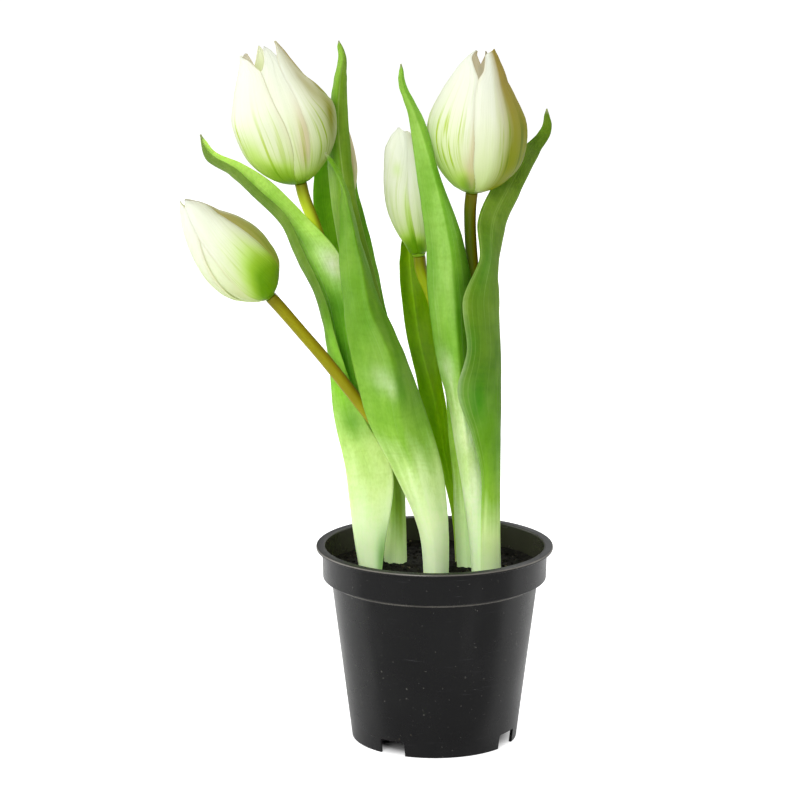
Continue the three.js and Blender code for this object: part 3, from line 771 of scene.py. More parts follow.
# each stem's tone on the ramp: the top right stem's dark olive is painted shade, and the top left
# stem's bright yellow-green is painted light
STEM_TONE = {"top_left": 0.1, "low_left": 0.55, "centre": 0.2, "top_right": 0.95, "back_left": 0.5}
BULB_NOSE_HEIGHT = 56


def stem_path(flower):
    base, tip = np.array(flower["base"], float), np.array(flower["tip"], float)
    axis = unit(tip - base)
    x, y = flower["bulb"]
    route = [(x, y, BULB_NOSE_HEIGHT + GAP + 0.1), (x, y, BULB_NOSE_HEIGHT + 5),
             *flower["path"], base - axis * NECK, base - axis * GAP]
    return through(route, np.linspace(0, 1, STEM_STEPS))


for flower in FLOWERS:
    path = stem_path(flower)
    share = np.linspace(0, 1, STEM_STEPS)
    radii = STEM_RADIUS * (1 + 0.02 * bumps(share * 60, share * 0, 7, 11))
    radii[-6:] *= np.linspace(1, 1.02, 6)
    rod = tube(path, radii, STEM_SIDES)
    side = (rod[0] - np.repeat(path, STEM_SIDES, axis=0))[:, 0] / STEM_RADIUS
    traits = {"age": np.full(len(side), STEM_TONE[flower["name"]], np.float32),
              "side": side.astype(np.float32)}
    stem = "stem_" + flower["name"]
    add_piece(stem + "_fine", [rod], stem_skin, stem, traits)

# %% [markdown]
# ## Leaves
#
# A tulip leaf is one long blade. It wraps round the stem at the foot like a gutter, opens higher
# up and curls in to a point, and its margins wave. Each leaf is drawn as stations from foot to tip:
# one margin, the middle rib and the other margin. Between them the blade is a parabola, and a
# little waving and rippling is added that dies away at the foot.

# %% [markdown]
# ### The arching left leaf and the tall hooked one
#
# The left leaf rises steeply, folds along its rib and arches over to the left, where its tip
# turns up again. The tall one beside it is narrower, and its tip hooks back to the right. Each
# station is [margin, rib, margin] in mm.

# %% The arching left leaf and the tall hooked one
LEAVES = {}
LEAVES["leaf_left"] = [
    [(-36, 1, 80), (-35, -7, 80), (-27.5, -10, 80)],
    [(-37, 2, 103), (-39, -7, 104), (-25, -11, 102)],
    [(-37, 1, 138), (-43, -7, 136), (-21, -12, 140)],
    [(-31, -1, 170), (-50, -6, 168), (-35, -13, 168)],
    [(-37, 0, 203), (-53, -5, 201), (-47, -12, 202)],
    [(-42, 1, 228), (-58, -4, 226), (-54.5, -11, 228)],
    [(-48, 1, 249), (-68, -4, 248), (-65, -9, 252)],
    [(-63, 3, 266), (-76, -4, 265), (-74, -8, 270)],
    [(-81, 4, 284), (-89, -3, 278), (-87, -7, 282)],
    [(-96, 3, 294), (-101, -2, 289), (-99, -6, 293)],
    [(-109, 2, 300), (-113, -1, 297), (-111, -4, 300)],
    [(-115, 1, 308), (-116, -1, 309), (-117, -2, 308)],
]
LEAVES["leaf_tall"] = [
    [(-26, 10, 80), (-20, 6, 80), (-14, 10, 80)],
    [(-25, 12, 120), (-20, 5, 122), (-15, 11, 120)],
    [(-30, 10, 157), (-23, 3, 159), (-17, 9, 157)],
    [(-36, 10, 193), (-28, 2, 195), (-21, 9, 193)],
    [(-43, 12, 224), (-34, 3, 225), (-27, 9, 224)],
    [(-49, 14, 254), (-42, 4, 256), (-35, 10, 255)],
    [(-53, 16, 279), (-46, 7, 281), (-40, 12, 279)],
    [(-54, 18, 309), (-49, 10, 310), (-43, 14, 310)],
    [(-51, 16, 332), (-48, 10, 333), (-44, 13, 332)],
    [(-48.5, 13, 345), (-46, 11, 346), (-44, 13, 345)],
    [(-49, 12, 353), (-48, 12, 354), (-47, 12, 353)],
]

# %% [markdown]
# ### The broad leaf at the back and the big front one
#
# The broad dark leaf stands behind the others and gives the plant its depth. The front leaf is
# the widest: a thick round foot that leans to the left and closes in to a long point.

# %% The broad leaf at the back and the big front one
LEAVES["leaf_back"] = [
    [(-26, 17, 80), (-20, 21, 80), (-14, 17, 80)],
    [(-26, 22, 117), (-20, 28, 116), (-15, 21, 118)],
    [(-33, 28, 153), (-24, 35, 152), (-16, 26, 154)],
    [(-42, 33, 189), (-30, 40, 187), (-19, 30, 189)],
    [(-51, 37, 219), (-38, 44, 218), (-26, 34, 220)],
    [(-59, 40, 250), (-46, 47, 249), (-33, 38, 250)],
    [(-62, 41, 273), (-50, 48, 272), (-39, 39, 273)],
    [(-60, 41, 291), (-51, 46, 291), (-41, 40, 291)],
    [(-55, 40, 307), (-50, 43, 308), (-45, 40, 306)],
    [(-50, 40, 318), (-49, 41, 319), (-48, 40, 318)],
]
LEAVES["leaf_front"] = [
    [(-5, -18, 80), (1, -25, 80), (7, -18, 80)],
    [(-8, -19, 112), (-1, -29, 112), (7, -17, 112)],
    [(-21, -22, 144), (-10, -34, 148), (4, -16, 142)],
    [(-33, -25, 169), (-16, -37, 168), (-3, -16, 168)],
    [(-41, -26, 201), (-22, -37, 202), (-14, -15, 198)],
    [(-45, -23, 225), (-32, -34, 226), (-25, -12, 223)],
    [(-47, -20, 249), (-37, -29, 250), (-34, -11, 247)],
    [(-47, -17, 271), (-42, -23, 272), (-40, -12, 271)],
    [(-47, -15, 288), (-46, -18, 287), (-43.5, -14, 286)],
    [(-53, -13, 301), (-54, -15, 302), (-53, -15, 303)],
]

# %% [markdown]
# ### The tall right leaf and the waved one
#
# The right leaf crosses in front of two stems. The waved leaf stands at its side with one margin
# turned forward, so that its lobes show against the leaf behind, and its tip bends out.

# %% The tall right leaf and the waved one
LEAVES["leaf_right"] = [
    [(20, -7, 80), (20.5, -14, 80), (25, -17, 80)],
    [(17, -10, 110), (19.5, -18, 112), (27, -17, 113)],
    [(13, -14, 137), (17.5, -22, 139), (27, -17, 139)],
    [(7, -17, 173), (14, -26, 175), (24, -15, 172)],
    [(0, -17, 204), (11, -26, 206), (20, -11, 203)],
    [(-4, -15, 233), (9, -23, 234), (19, -8, 231)],
    [(-5, -14, 262), (6, -21, 262), (13, -9, 260)],
    [(-9, -13, 291), (-1, -19, 292), (2, -13, 290)],
    [(-13, -11, 318), (-9, -14, 318), (-5, -10, 316)],
    [(-18, -9, 335), (-16, -10, 334), (-14, -8, 333)],
    [(-17.5, -8, 344), (-17, -8.5, 345), (-16, -8, 344)],
]
LEAVES["leaf_waved"] = [
    [(23, -21, 80), (32, -14, 80), (33, -3, 80)],
    [(23, -22, 113), (32, -14, 111), (30, 0, 107)],
    [(23, -25, 142), (32, -15, 140), (30, 3, 135)],
    [(18, -29, 164), (32, -15, 161), (29, 6, 156)],
    [(11, -33, 186), (32, -14, 181), (27, 8, 176)],
    [(16, -33, 207), (32, -12, 203), (26, 10, 198)],
    [(14, -29, 231), (31, -9, 228), (25, 12, 224)],
    [(21, -21, 249), (31, -5, 246), (27, 14, 243)],
    [(21, -9, 267), (35, 3, 265), (30, 15, 263)],
    [(27, 5, 280), (42, 12, 279), (35, 20, 278)],
    [(39, 16, 296), (51, 15, 297), (45, 20, 298)],
    [(52, 10, 310), (57, 9, 310), (53, 13, 312)],
    [(54, 8, 321), (55, 7, 321), (56, 8, 321)],
]

# %% [markdown]
# ### The olive leaf and the small one
#
# Two leaves of the middle shoot fill the gap: a plain olive blade at the back, and a short young
# one by the stem.

# %% The olive leaf and the small one
LEAVES["leaf_olive"] = [
    [(11, 9, 80), (16, 15, 80), (21.5, 9, 80)],
    [(9, 12, 110), (13, 18, 108), (18, 12, 110)],
    [(2, 16, 140), (6, 23, 138), (9, 16, 140)],
    [(-7, 18, 171), (0, 26, 169), (5, 18, 171)],
    [(-13, 19, 199), (-7, 28, 197), (1, 20, 199)],
    [(-17, 21, 224), (-11, 30, 223), (-4, 21, 224)],
    [(-18, 24, 243), (-13, 31, 243), (-8, 25, 244)],
    [(-16, 27, 259), (-13, 31, 259), (-10, 28, 259)],
    [(-13, 29, 271), (-12, 30, 272), (-11, 29, 271)],
]
LEAVES["leaf_small"] = [
    [(12, 3, 80), (17, 0, 80), (21, 3, 80)],
    [(10, 3, 112), (15, 0, 113), (19, 4, 112)],
    [(9, 3, 135), (14, 0, 136), (18, 3, 135)],
    [(7, 4, 156), (11, 1, 157), (14, 4, 156)],
    [(6, 5, 170), (8, 3, 171), (10, 5, 170)],
    [(5, 5, 180), (6, 4, 181), (7, 5, 180)],
]
print("leaves drawn:", len(LEAVES))

# %% [markdown]
# ### Leaf skin
#
# Tulip leaves are smooth and slightly waxy. Their green changes with height: the foot, which grew
# inside the soil and the outer leaves, is almost white and lets light through, and above it the
# blade turns green. So each leaf gets its own colours by height, a deeper green past the rib that
# is painted shade on the half turned from the light, soft lush patches, and pale spots that are
# painted highlights.

# %% The greens of a leaf
BLADE_FOOT, BLADE_SPAN = 80, 280
LUSH, PAINTED_HIGHLIGHT = srgb(72, 148, 0), srgb(246, 255, 230)


def leaf_greens(skin, place, across, stops, beyond, shaded_half_from):
    """stops: colours at heights in mm; beyond: painted shade past the rib, above shaded_half_from.
    """
    colour = skin.ramp(place, [((mm - BLADE_FOOT) / BLADE_SPAN, srgb(*c)) for mm, c in stops])
    start = (shaded_half_from - BLADE_FOOT) / BLADE_SPAN
    # painted shade: past the rib, above a given height, the half turned from the light goes a deeper
    # green
    shaded_half_mask = skin.times(skin.spread(across, 0.485, 0.53), skin.spread(place, start, start + 0.16))
    colour = skin.mix(skin.times(shaded_half_mask, 0.85), colour, srgb(*beyond))
    colour = skin.mix(skin.trait("lush"), colour, LUSH)
    # painted highlight: pale patches where the leaf catches the light
    return skin.mix(skin.trait("painted_highlight"), colour, PAINTED_HIGHLIGHT)


# %% [markdown]
# ### Mottling
#
# Close up, a leaf is never one green. Wide clouds, small cells and faint cross bands darken it a
# little by multiplying, and a thin wax lightens it in places. The foot stays smooth.

# %% Clouds, cells and wax
def leaf_mottling(skin, colour, place, seed, bands):
    clouds = skin.noise(skin.stretch(skin.spots, 90, 90, 42), 1, 5, seed=seed)
    cloud = skin.times(skin.spread(clouds, 0.36, 0.64), skin.spread(place, 0.1, 0.26))
    colour = skin.mix(skin.times(cloud, 0.6), colour, srgb(204, 222, 150), "MULTIPLY")
    cells = skin.noise(skin.stretch(skin.spots, 900, 900, 500), 1, 3, seed=seed)
    mottle = skin.plus(skin.times(skin.spread(cells, 0.4, 0.65), 0.2),
                       skin.times(skin.spread(bands, 0.45, 0.7), 0.2))
    mottle = skin.times(mottle, skin.spread(place, 0.05, 0.3, 0.25, 1))
    colour = skin.mix(mottle, colour, srgb(196, 214, 130), "MULTIPLY")
    wax = skin.spread(skin.noise(skin.stretch(skin.spots, 60, 60, 30), 1, 4, seed=seed), 0.45, 0.7)
    return skin.mix(skin.times(wax, 0.12), colour, srgb(206, 228, 130)), cloud


# %% [markdown]
# ### Veins
#
# Parallel veins run from foot to tip and close in towards the point. The sheet's own coordinates
# do exactly that, so noise stretched along them gives veins: many times finer across than along.

# %% Veins along the blade
def leaf_veins(skin, colour, place, seed, fine, main, vein, vein_amount):
    faded = skin.spread(skin.noise(skin.stretch(skin.sheet, 4, 3), 1, 2, seed=seed), 0.3, 0.6)
    lines = skin.plus(skin.times(skin.spread(fine, 0.52, 0.72), 0.4), skin.spread(main, 0.57, 0.68))
    lines = skin.times(skin.times(lines, faded), vein_amount)
    # painted shade: the furrows between the main veins are darkened
    furrow_shade = skin.times(skin.spread(main, 0.32, 0.46, 1, 0), vein_amount * 0.6)
    furrow_shade = skin.times(furrow_shade, skin.spread(place, 0.25, 0.45))
    colour = skin.mix(furrow_shade, colour, srgb(190, 200, 150), "MULTIPLY")
    return skin.mix(lines, colour, srgb(*vein))


# %% [markdown]
# ### The whole leaf skin
#
# The parts come together here. The very tip dries to grey-green, and the pale foot glows faintly,
# which stands for the light that passes through its thick white flesh.

# %% Leaf skin
FOOT_GLOW = 0.115


def leaf_skin(name, stops, beyond, shaded_half_from, vein, vein_amount, roughness=0.42):
    skin = Finish(name, Specular_IOR_Level=0.12, Subsurface_Weight=0.2, Subsurface_Scale=1)
    skin.shader.inputs["Subsurface Radius"].default_value = (0.001, 0.0016, 0.0003)
    seed = skin.trait("shoot")
    across, along, _ = skin.split(skin.sheet)
    lobes = skin.noise(skin.stretch(skin.sheet, 6, 3.5), 1, 3, seed=seed)
    raised = skin.minus(skin.split(skin.spots)[2], BLADE_FOOT * MM)
    place = skin.times(raised, 1 / (BLADE_SPAN * MM))
    unsteady = skin.times(skin.minus(lobes, 0.5), skin.spread(place, 0, 0.2, 0.03, 0.16))
    place = skin.plus(place, unsteady)
    bands = skin.noise(skin.stretch(skin.sheet, 3, 95), 1, 2, seed=seed)
    fine = skin.noise(skin.stretch(skin.sheet, 110, 2.5), 1, 3, seed=seed)
    main = skin.noise(skin.stretch(skin.sheet, 46, 1.1), 1, 2, seed=seed, distortion=0.25)
    colour = leaf_greens(skin, place, across, stops, beyond, shaded_half_from)
    colour, cloud = leaf_mottling(skin, colour, place, seed, bands)
    colour = leaf_veins(skin, colour, place, seed, fine, main, vein, vein_amount)
    colour = skin.mix(skin.spread(along, 0.975, 0.995), colour, srgb(150, 160, 110))
    skin.glow(colour, skin.spread(place, 0.08, 0.34, FOOT_GLOW, 0))
    patchy = skin.spread(cloud, 0, 1, roughness - 0.05, roughness + 0.07)
    ribs = skin.plus(skin.plus(fine, skin.times(main, 1.5)), bands)
    return skin.finish(colour, patchy, skin.relief(ribs, 0.1))


# %% [markdown]
# ### Eight greens
#
# Every leaf has its own greens: each is of its own age, and each is painted lighter or darker for
# the light it stands in: fresh at the front and left, grey with wax on the tall and waved ones,
# deep and olive at the back. The list for each reads: colours by height, the painted shade past the
# rib and where it starts, the veins' colour and strength, and the roughness.

# %% Eight greens
left_skin = leaf_skin("left_leaf", [
    (85, (228, 255, 198)), (112, (228, 254, 192)), (134, (222, 250, 168)), (156, (204, 242, 136)),
    (185, (150, 214, 60)), (215, (140, 208, 54)), (250, (200, 250, 112)), (310, (220, 255, 136))],
    (88, 118, 26), 185, (190, 212, 150), 0.4, 0.34)
front_skin = leaf_skin("front_leaf", [
    (85, (230, 255, 204)), (118, (232, 255, 194)), (142, (214, 244, 162)), (164, (152, 202, 74)),
    (205, (126, 176, 56)), (260, (110, 162, 40)), (303, (104, 154, 34))],
    (116, 168, 20), 168, (176, 216, 130), 0.14)
right_skin = leaf_skin("right_leaf", [
    (85, (230, 255, 204)), (140, (236, 255, 206)), (172, (228, 250, 186)), (190, (164, 210, 92)),
    (205, (134, 192, 56)), (235, (156, 204, 96)), (300, (154, 204, 88)), (345, (134, 184, 56))],
    (118, 180, 32), 150, (190, 224, 146), 0.16, 0.36)
waved_skin = leaf_skin("waved_leaf", [
    (85, (226, 254, 196)), (108, (216, 244, 162)), (130, (146, 196, 58)), (160, (104, 160, 14)),
    (200, (96, 142, 12)), (240, (116, 152, 32)), (268, (110, 144, 28)), (321, (96, 128, 20))],
    (104, 130, 22), 150, (156, 186, 90), 0.5, 0.42)
tall_skin = leaf_skin("tall_leaf", [
    (85, (226, 252, 196)), (98, (218, 244, 170)), (116, (168, 210, 84)), (150, (112, 160, 26)),
    (225, (140, 172, 42)), (262, (126, 166, 30)), (300, (132, 182, 44)), (354, (146, 194, 60))],
    (120, 152, 32), 92, (180, 206, 122), 0.65, 0.42)
deep_skin = leaf_skin("deep_leaf", [
    (85, (236, 250, 200)), (112, (208, 234, 146)), (140, (150, 200, 54)), (320, (122, 182, 26))],
    (100, 152, 6), 150, (150, 196, 70), 0.2)
small_skin = leaf_skin("small_leaf", [
    (85, (224, 252, 194)), (118, (218, 246, 174)), (138, (178, 218, 96)), (180, (122, 180, 26))],
    (104, 160, 8), 150, (150, 196, 70), 0.12)
olive_skin = leaf_skin("olive_leaf", [
    (85, (226, 244, 172)), (108, (186, 222, 66)), (140, (170, 214, 8)), (200, (156, 204, 0)),
    (271, (168, 202, 18))], (128, 170, 2), 150, (168, 200, 46), 0.16)

# %% [markdown]
# ### Waves, gutters and soft patches
#
# The leaves also differ in how far their margins wave and in how they are folded. Four of them get
# soft patches: lush where the green is deepest, and painted highlights, pale spots where the leaf
# catches the light.

# %% How each leaf looks
# skin, slot, how far the margins wave in mm, and how round the gutter is (2 round, 1 folded)
LEAF_LOOK = {
    "leaf_left": (left_skin, "leaf", 0.6, 1.7),
    "leaf_tall": (tall_skin, "leaf_grey", 0.3, 1.8),
    "leaf_back": (deep_skin, "leaf_dark", 0.5, 1.8),
    "leaf_front": (front_skin, "leaf", 0.5, 1.4),
    "leaf_right": (right_skin, "leaf", 0.4, 1.8),
    "leaf_waved": (waved_skin, "leaf_grey", 0.9, 1.8),
    "leaf_olive": (olive_skin, "leaf_olive", 0.5, 1.8),
    "leaf_small": (small_skin, "leaf_dark", 0.2, 1.8),
}
# kind, height in mm, place across from -1 to 1, how tall in mm, how wide, strength
# the highlight kind of patch is a painted highlight, a pale spot where the leaf catches the light
LEAF_PATCHES = {
    "leaf_left": [("painted_highlight", 244, -0.85, 8, 0.26, 1), ("lush", 256, -0.45, 6, 0.3, 0.5),
                  ("lush", 224, -0.62, 9, 0.3, 0.6), ("lush", 196, -0.5, 12, 0.4, 0.55),
                  ("lush", 182, -0.25, 8, 0.4, 0.35), ("lush", 166, 0.75, 9, 0.35, 0.55),
                  ("lush", 163, 0.1, 8, 0.4, 0.15), ("lush", 96, 0.95, 16, 0.14, 0.75)],
    "leaf_front": [("painted_highlight", 193, -0.35, 6, 0.3, 0.25), ("painted_highlight", 188, -0.1, 5, 0.12, 0.3),
                   ("lush", 188, 0.2, 9, 0.2, 0.45), ("lush", 214, -0.2, 12, 0.2, 0.2)],
    "leaf_right": [("lush", 222, 0.16, 18, 0.18, 0.55), ("painted_highlight", 196, -0.6, 9, 0.3, 0.5),
                   ("lush", 250, -0.8, 14, 0.2, 0.25)],
    "leaf_waved": [("lush", 180, -0.72, 13, 0.3, 1), ("lush", 210, -0.9, 9, 0.14, 0.5),
                   ("lush", 246, -0.7, 14, 0.3, 0.5), ("painted_highlight", 186, -1, 50, 0.06, 0.25)],
}


# %% [markdown]
# ### Building a blade
#
# The stations give the two margins and the rib at any height. Across the blade a bow joins them:
# nearly round at the foot, where the leaf is a gutter, and flatter or folded above. Then the
# margins wave, the face ripples and the rib sinks in as a crease, all pushed along the normal.

# %% One blade
BLADE_THICKNESS, MARGIN_THICKNESS = 0.8, 0.35
LEAF_ROWS, LEAF_COLUMNS = 160, 41
FOOT_ROUNDNESS = 2.2
POINT_FROM, POINT_CLOSED = 0.965, 0.85  # where the tip draws in, and how far
OPENS_FROM, OPENS_OVER = 0.1, 0.15  # where the gutter opens
WAVES_FROM, WAVES_OVER, WAVES_END = 0.12, 0.2, 0.1  # where the waves grow, and how they die away
RIPPLE, CREASE, CREASE_WIDE, MARGIN_ROUND = 0.2, 0.28, 0.09, 0.06


def across_steps(columns):
    """Even steps from -1 to 1 that close up towards the margins, where the sheet is rounded."""
    even = np.linspace(-1, 1, columns)
    return 0.55 * even + 0.45 * np.sin(even * math.pi / 2)


def blade(stations, wave, roundness, seed):
    share = np.linspace(0, 1, LEAF_ROWS)
    across = across_steps(LEAF_COLUMNS)[None, :, None]
    left, rib, right = through(stations, share).transpose(1, 0, 2)[:, :, None]
    closing = np.clip((share - POINT_FROM) / (1 - POINT_FROM), 0, 1)[:, None, None] ** 2
    left = left + (rib - left) * closing * POINT_CLOSED
    right = right + (rib - right) * closing * POINT_CLOSED
    opened = np.clip((share - OPENS_FROM) / OPENS_OVER, 0, 1)[:, None, None]
    bow = np.abs(across) ** (FOOT_ROUNDNESS + (roundness - FOOT_ROUNDNESS) * opened)
    middle = rib * (1 - bow) + (left + right) / 2 * bow + (right - left) / 2 * across
    normal = unit(np.cross(np.gradient(middle, axis=0), np.gradient(middle, axis=1)))
    s, v = across[..., 0], share[:, None]
    length = np.linalg.norm(np.diff(rib[:, 0], axis=0), axis=1).sum()
    alive = np.clip((v - WAVES_FROM) / WAVES_OVER, 0, 1) * np.clip((1 - v) / WAVES_END, 0, 1)
    margin = wave * np.abs(s) ** 3 * bumps(v * length, s * 2, 17, seed)
    ripple = RIPPLE * bumps(v * length, s * 13 + 40, 6, seed + 1)
    crease = -CREASE * np.exp(-((s / CREASE_WIDE) ** 2))
    middle = middle + normal * ((margin + ripple) * alive + crease)[..., None]
    rounding = np.sqrt(np.clip((1 - np.abs(s)) / MARGIN_ROUND, 0.08, 1))
    thickness = (MARGIN_THICKNESS + (BLADE_THICKNESS - MARGIN_THICKNESS) * (1 - s**2)) * rounding
    return (sheet(middle, np.broadcast_to(thickness, middle.shape[:2])),
            np.broadcast_to(s, middle.shape[:2]), middle[..., 2])


# %% Build the leaves
def leaf_tints(name, across, height):
    """How lush each point of a leaf is and how much painted highlight it has."""
    tints = {"lush": np.zeros_like(height), "painted_highlight": np.zeros_like(height)}
    for kind, mm, place, tall, wide, strength in LEAF_PATCHES.get(name, []):
        tints[kind] += strength * np.exp(-(((height - mm) / tall) ** 2)
                                         - ((across - place) / wide) ** 2)
    return {kind: np.tile(np.clip(values, 0, 1).ravel(), 2).astype(np.float32)
            for kind, values in tints.items()}


for number, (name, stations) in enumerate(LEAVES.items()):
    skin, slot, wave, roundness = LEAF_LOOK[name]
    part, across, height = blade(stations, wave, roundness, 20 + 3 * number)
    traits = leaf_tints(name, across, height)
    traits["shoot"] = np.full(len(part[0]), number * 7.3, np.float32)
    add_piece(name + "_fine", [part], skin, name, traits)

# %% [markdown]
# ## Blooms
#
# A tulip has six petals in two layers of three. Each is a piece of an egg-shaped cup: the outer
# three lap over the inner three, and every petal laps its neighbour on one side. A bud is a closed
# egg that comes to a point. A half-open flower keeps its width to the tips.

# %% Bloom shapes
CLOSED_EGG = [(0, 0.2), (0.03, 0.38), (0.09, 0.58), (0.17, 0.78), (0.27, 0.93), (0.4, 1),
              (0.55, 0.93), (0.7, 0.79), (0.83, 0.58), (0.94, 0.32), (1, 0.13)]
OPEN_EGG = [(0, 0.2), (0.03, 0.37), (0.09, 0.58), (0.17, 0.77), (0.27, 0.92), (0.4, 1),
            (0.52, 1), (0.63, 0.91), (0.75, 0.73), (0.88, 0.54), (1, 0.4)]


def egg_radius(opening, along):
    """Share of the flower's radius at a share of its height."""
    closed, wide = (through(egg, np.linspace(0, 1, 200)) for egg in (CLOSED_EGG, OPEN_EGG))
    return (np.interp(along, *closed.T) * (1 - opening) + np.interp(along, *wide.T) * opening)


def plain_petal(turn, half, reach):
    """The usual petal: even sides that close in a blunt point."""
    shape = [(0, 0.95), (0.4, 1), (0.65, 0.96), (0.82, 0.78), (0.93, 0.46), (1, 0.03)]
    return [(reach * share, turn - half * width, turn + half * width) for share, width in shape]


# %% [markdown]
# ### Petals of the top left flower
#
# This flower is half open. Its left outer petal is cut low at the top, a long petal rises at the
# right, and between them two inner petals show in the notch.
#
# A petal is drawn by its two margins. Each row says how much painted olive shade its shaded side
# gets, how green its seat is, how dry its tip is, and then its stations from seat to tip: share of
# the bloom's height, left margin, right margin. Margins are turns in degrees from +X, so -90 faces
# front.

# %% Petals of the top left flower
PETALS = {}
PETALS["top_left"] = [
    (0.1, 1, 0, [(0, -205, -94), (0.06, -206, -93), (0.24, -208, -84), (0.435, -208, -84),
                 (0.6, -208, -90), (0.74, -206, -97), (0.825, -203, -103), (0.86, -200, -112),
                 (0.89, -196, -122), (0.92, -190, -138), (0.94, -180, -172)]),
    (0.6, 0.8, 0, [(0, -64, 60), (0.2, -62, 58), (0.38, -61, 25), (0.5, -62, 0), (0.6, -62, -14),
                   (0.7, -63, -8), (0.78, -64, -6), (0.86, -61, -4), (0.93, -50, -2),
                   (0.985, -22, -12)]),
    (0.3, 1, 0.01, [(0, 55, 160), (0.3, 52, 162), (0.5, 56, 158), (0.7, 72, 140),
                   (0.82, 86, 124), (0.89, 96, 117), (0.93, 103, 112),
                   (0.95, 107, 109)]),
    (0.1, 0.9, 0, [(0, -125, -20), (0.4, -125, -20), (0.7, -120, -30), (0.8, -112, -40),
                   (0.85, -100, -48), (0.9, -93, -56), (0.945, -91, -66), (0.97, -89, -76),
                   (0.985, -86, -84)]),
    (1, 1, 0.3, [(0, -20, 110), (0.3, -20, 100), (0.45, -24, 60), (0.56, -30, 20),
                 (0.64, -34, 5), (0.7, -36, -5), (0.73, -34, -20)]),
    (0.5, 1, 0.8, [(0, -240, -100), (0.5, -240, -98), (0.74, -232, -99), (0.82, -222, -108),
                   (0.865, -205, -115), (0.9, -188, -122), (0.93, -172, -129),
                   (0.96, -150, -139)]),
]

# %% [markdown]
# ### Petals of the low left bud
#
# This one is shut and leans far over. One broad petal covers its front, and a second one shows
# along its lower left side.

# %% Petals of the low left bud
PETALS["low_left"] = [
    (0.2, 0.9, 0, [(0, -130, 20), (0.1, -121, 10), (0.2, -115, -8), (0.33, -112, -20),
                   (0.44, -110, -25), (0.55, -110, -25), (0.66, -111, -22), (0.76, -114, -6),
                   (0.84, -118, 20), (0.9, -116, 32), (0.945, -104, 20), (0.975, -90, -30),
                   (0.985, -80, -62)]),
    (0, 0.3, 0, [(0, -262, -164), (0.1, -262, -156), (0.2, -262, -147), (0.36, -262, -136),
                 (0.53, -262, -128), (0.65, -260, -118), (0.74, -258, -108), (0.85, -254, -100),
                 (0.93, -246, -96), (0.98, -225, -120), (1.005, -200, -170)]),
    (0.9, 0.8, 0.4, [(0, -30, 105), (0.3, -40, 105), (0.6, -40, 105), (0.8, -20, 102),
                   (0.93, 0, 95), (0.98, 20, 70), (0.99, 35, 50)]),
    (0, 0.1, 0, [(0, -185, -80), (0.5, -180, -75), (0.8, -160, -80), (0.92, -135, -92),
                 (0.95, -115, -105)]),
    (0.3, 1, 0, plain_petal(0, 56, 0.94)),
    (0.3, 1, 0, plain_petal(120, 56, 0.94)),
]

# %% [markdown]
# ### Petals of the centre bud
#
# A slim young bud: two outer petals meet at the front, and plain ones fill the rest.

# %% Petals of the centre bud
PETALS["centre"] = [
    (0.1, 0.8, 0, [(0, -214, -84), (0.3, -214, -88), (0.5, -212, -84), (0.65, -208, -70),
                   (0.8, -200, -52), (0.9, -188, -38), (0.96, -165, -40), (1, -118, -84)]),
    (0.2, 0.7, 0, [(0, -98, 28), (0.3, -100, 28), (0.6, -98, 28), (0.8, -92, 20),
                   (0.93, -70, 5), (0.965, -50, -20)]),
    (0.3, 0.8, 0, [(0, 20, 150), (0.6, 20, 150), (0.85, 35, 135), (0.97, 80, 92)]),
    (0, 0.5, 0, plain_petal(-90, 56, 0.94)),
    (0, 0.5, 0, plain_petal(30, 56, 0.94)),
    (0, 0.5, 0, plain_petal(150, 56, 0.94)),
]

# %% [markdown]
# ### Petals of the top right flower
#
# This flower has just begun to open. Two outer petals meet in a seam at the front, and above it
# a narrow notch shows the dry edges of the inner ones.

# %% Petals of the top right flower
PETALS["top_right"] = [
    (0.1, 0.6, 0, [(0, -212, -77), (0.28, -214, -91), (0.6, -214, -93), (0.76, -208, -95),
                   (0.82, -204, -99), (0.87, -198, -110), (0.91, -190, -124),
                   (0.95, -178, -146), (0.985, -162, -157)]),
    (1, 0.3, 0, [(0, -88, 40), (0.28, -101, 45), (0.6, -104, 45), (0.76, -103, 38),
                 (0.82, -97, 30), (0.87, -89, 24), (0.93, -87, 16), (0.97, -84, 8),
                 (0.985, -60, 6), (1, -15, 2)]),
    (0.4, 0.7, 0, [(0, 32, 158), (0.5, 32, 158), (0.7, 50, 140), (0.8, 85, 105), (0.82, 94, 97)]),
    (0.4, 0.4, 1, [(0, -106, 10), (0.5, -107, 10), (0.76, -110, 5), (0.86, -108, -15),
                   (0.905, -100, -30), (0.94, -94, -50), (0.965, -88, -65), (0.99, -86, -80)]),
    (0.6, 0.7, 0, [(0, 20, 140), (0.5, 15, 140), (0.7, 30, 125), (0.8, 75, 92)]),
    (0.4, 0.5, 1, [(0, -218, -88), (0.5, -218, -88), (0.76, -212, -84), (0.86, -206, -88),
                   (0.905, -198, -98), (0.94, -186, -111), (0.965, -172, -128),
                   (0.982, -155, -141)]),
]

# %% [markdown]
# ### Petals of the bud at the back
#
# Only a sliver of it shows between the leaves, so all six petals are plain ones.

# %% Petals of the bud at the back
PETALS["back_left"] = [
    (0.8, 1, 0, plain_petal(-90, 62, 1)),
    (0.3, 1, 0, plain_petal(30, 62, 0.98)),
    (0.3, 1, 0, plain_petal(150, 62, 0.98)),
    (0, 1, 0, plain_petal(-30, 56, 0.94)),
    (0, 1, 0, plain_petal(90, 56, 0.94)),
    (0, 1, 0, plain_petal(210, 56, 0.95)),
]
print("petals drawn:", sum(len(petals) for petals in PETALS.values()))

# %% [markdown]
# ### Fuller sides and soft patches
#
# No flower is quite an egg, so each one is a little fuller or flatter at either side. The patches
# are soft spots of colour on single petals: green near the seat, pink blush where petals press
# together, painted olive shade on the sides that turn from the light, and places where the veins
# stand out.

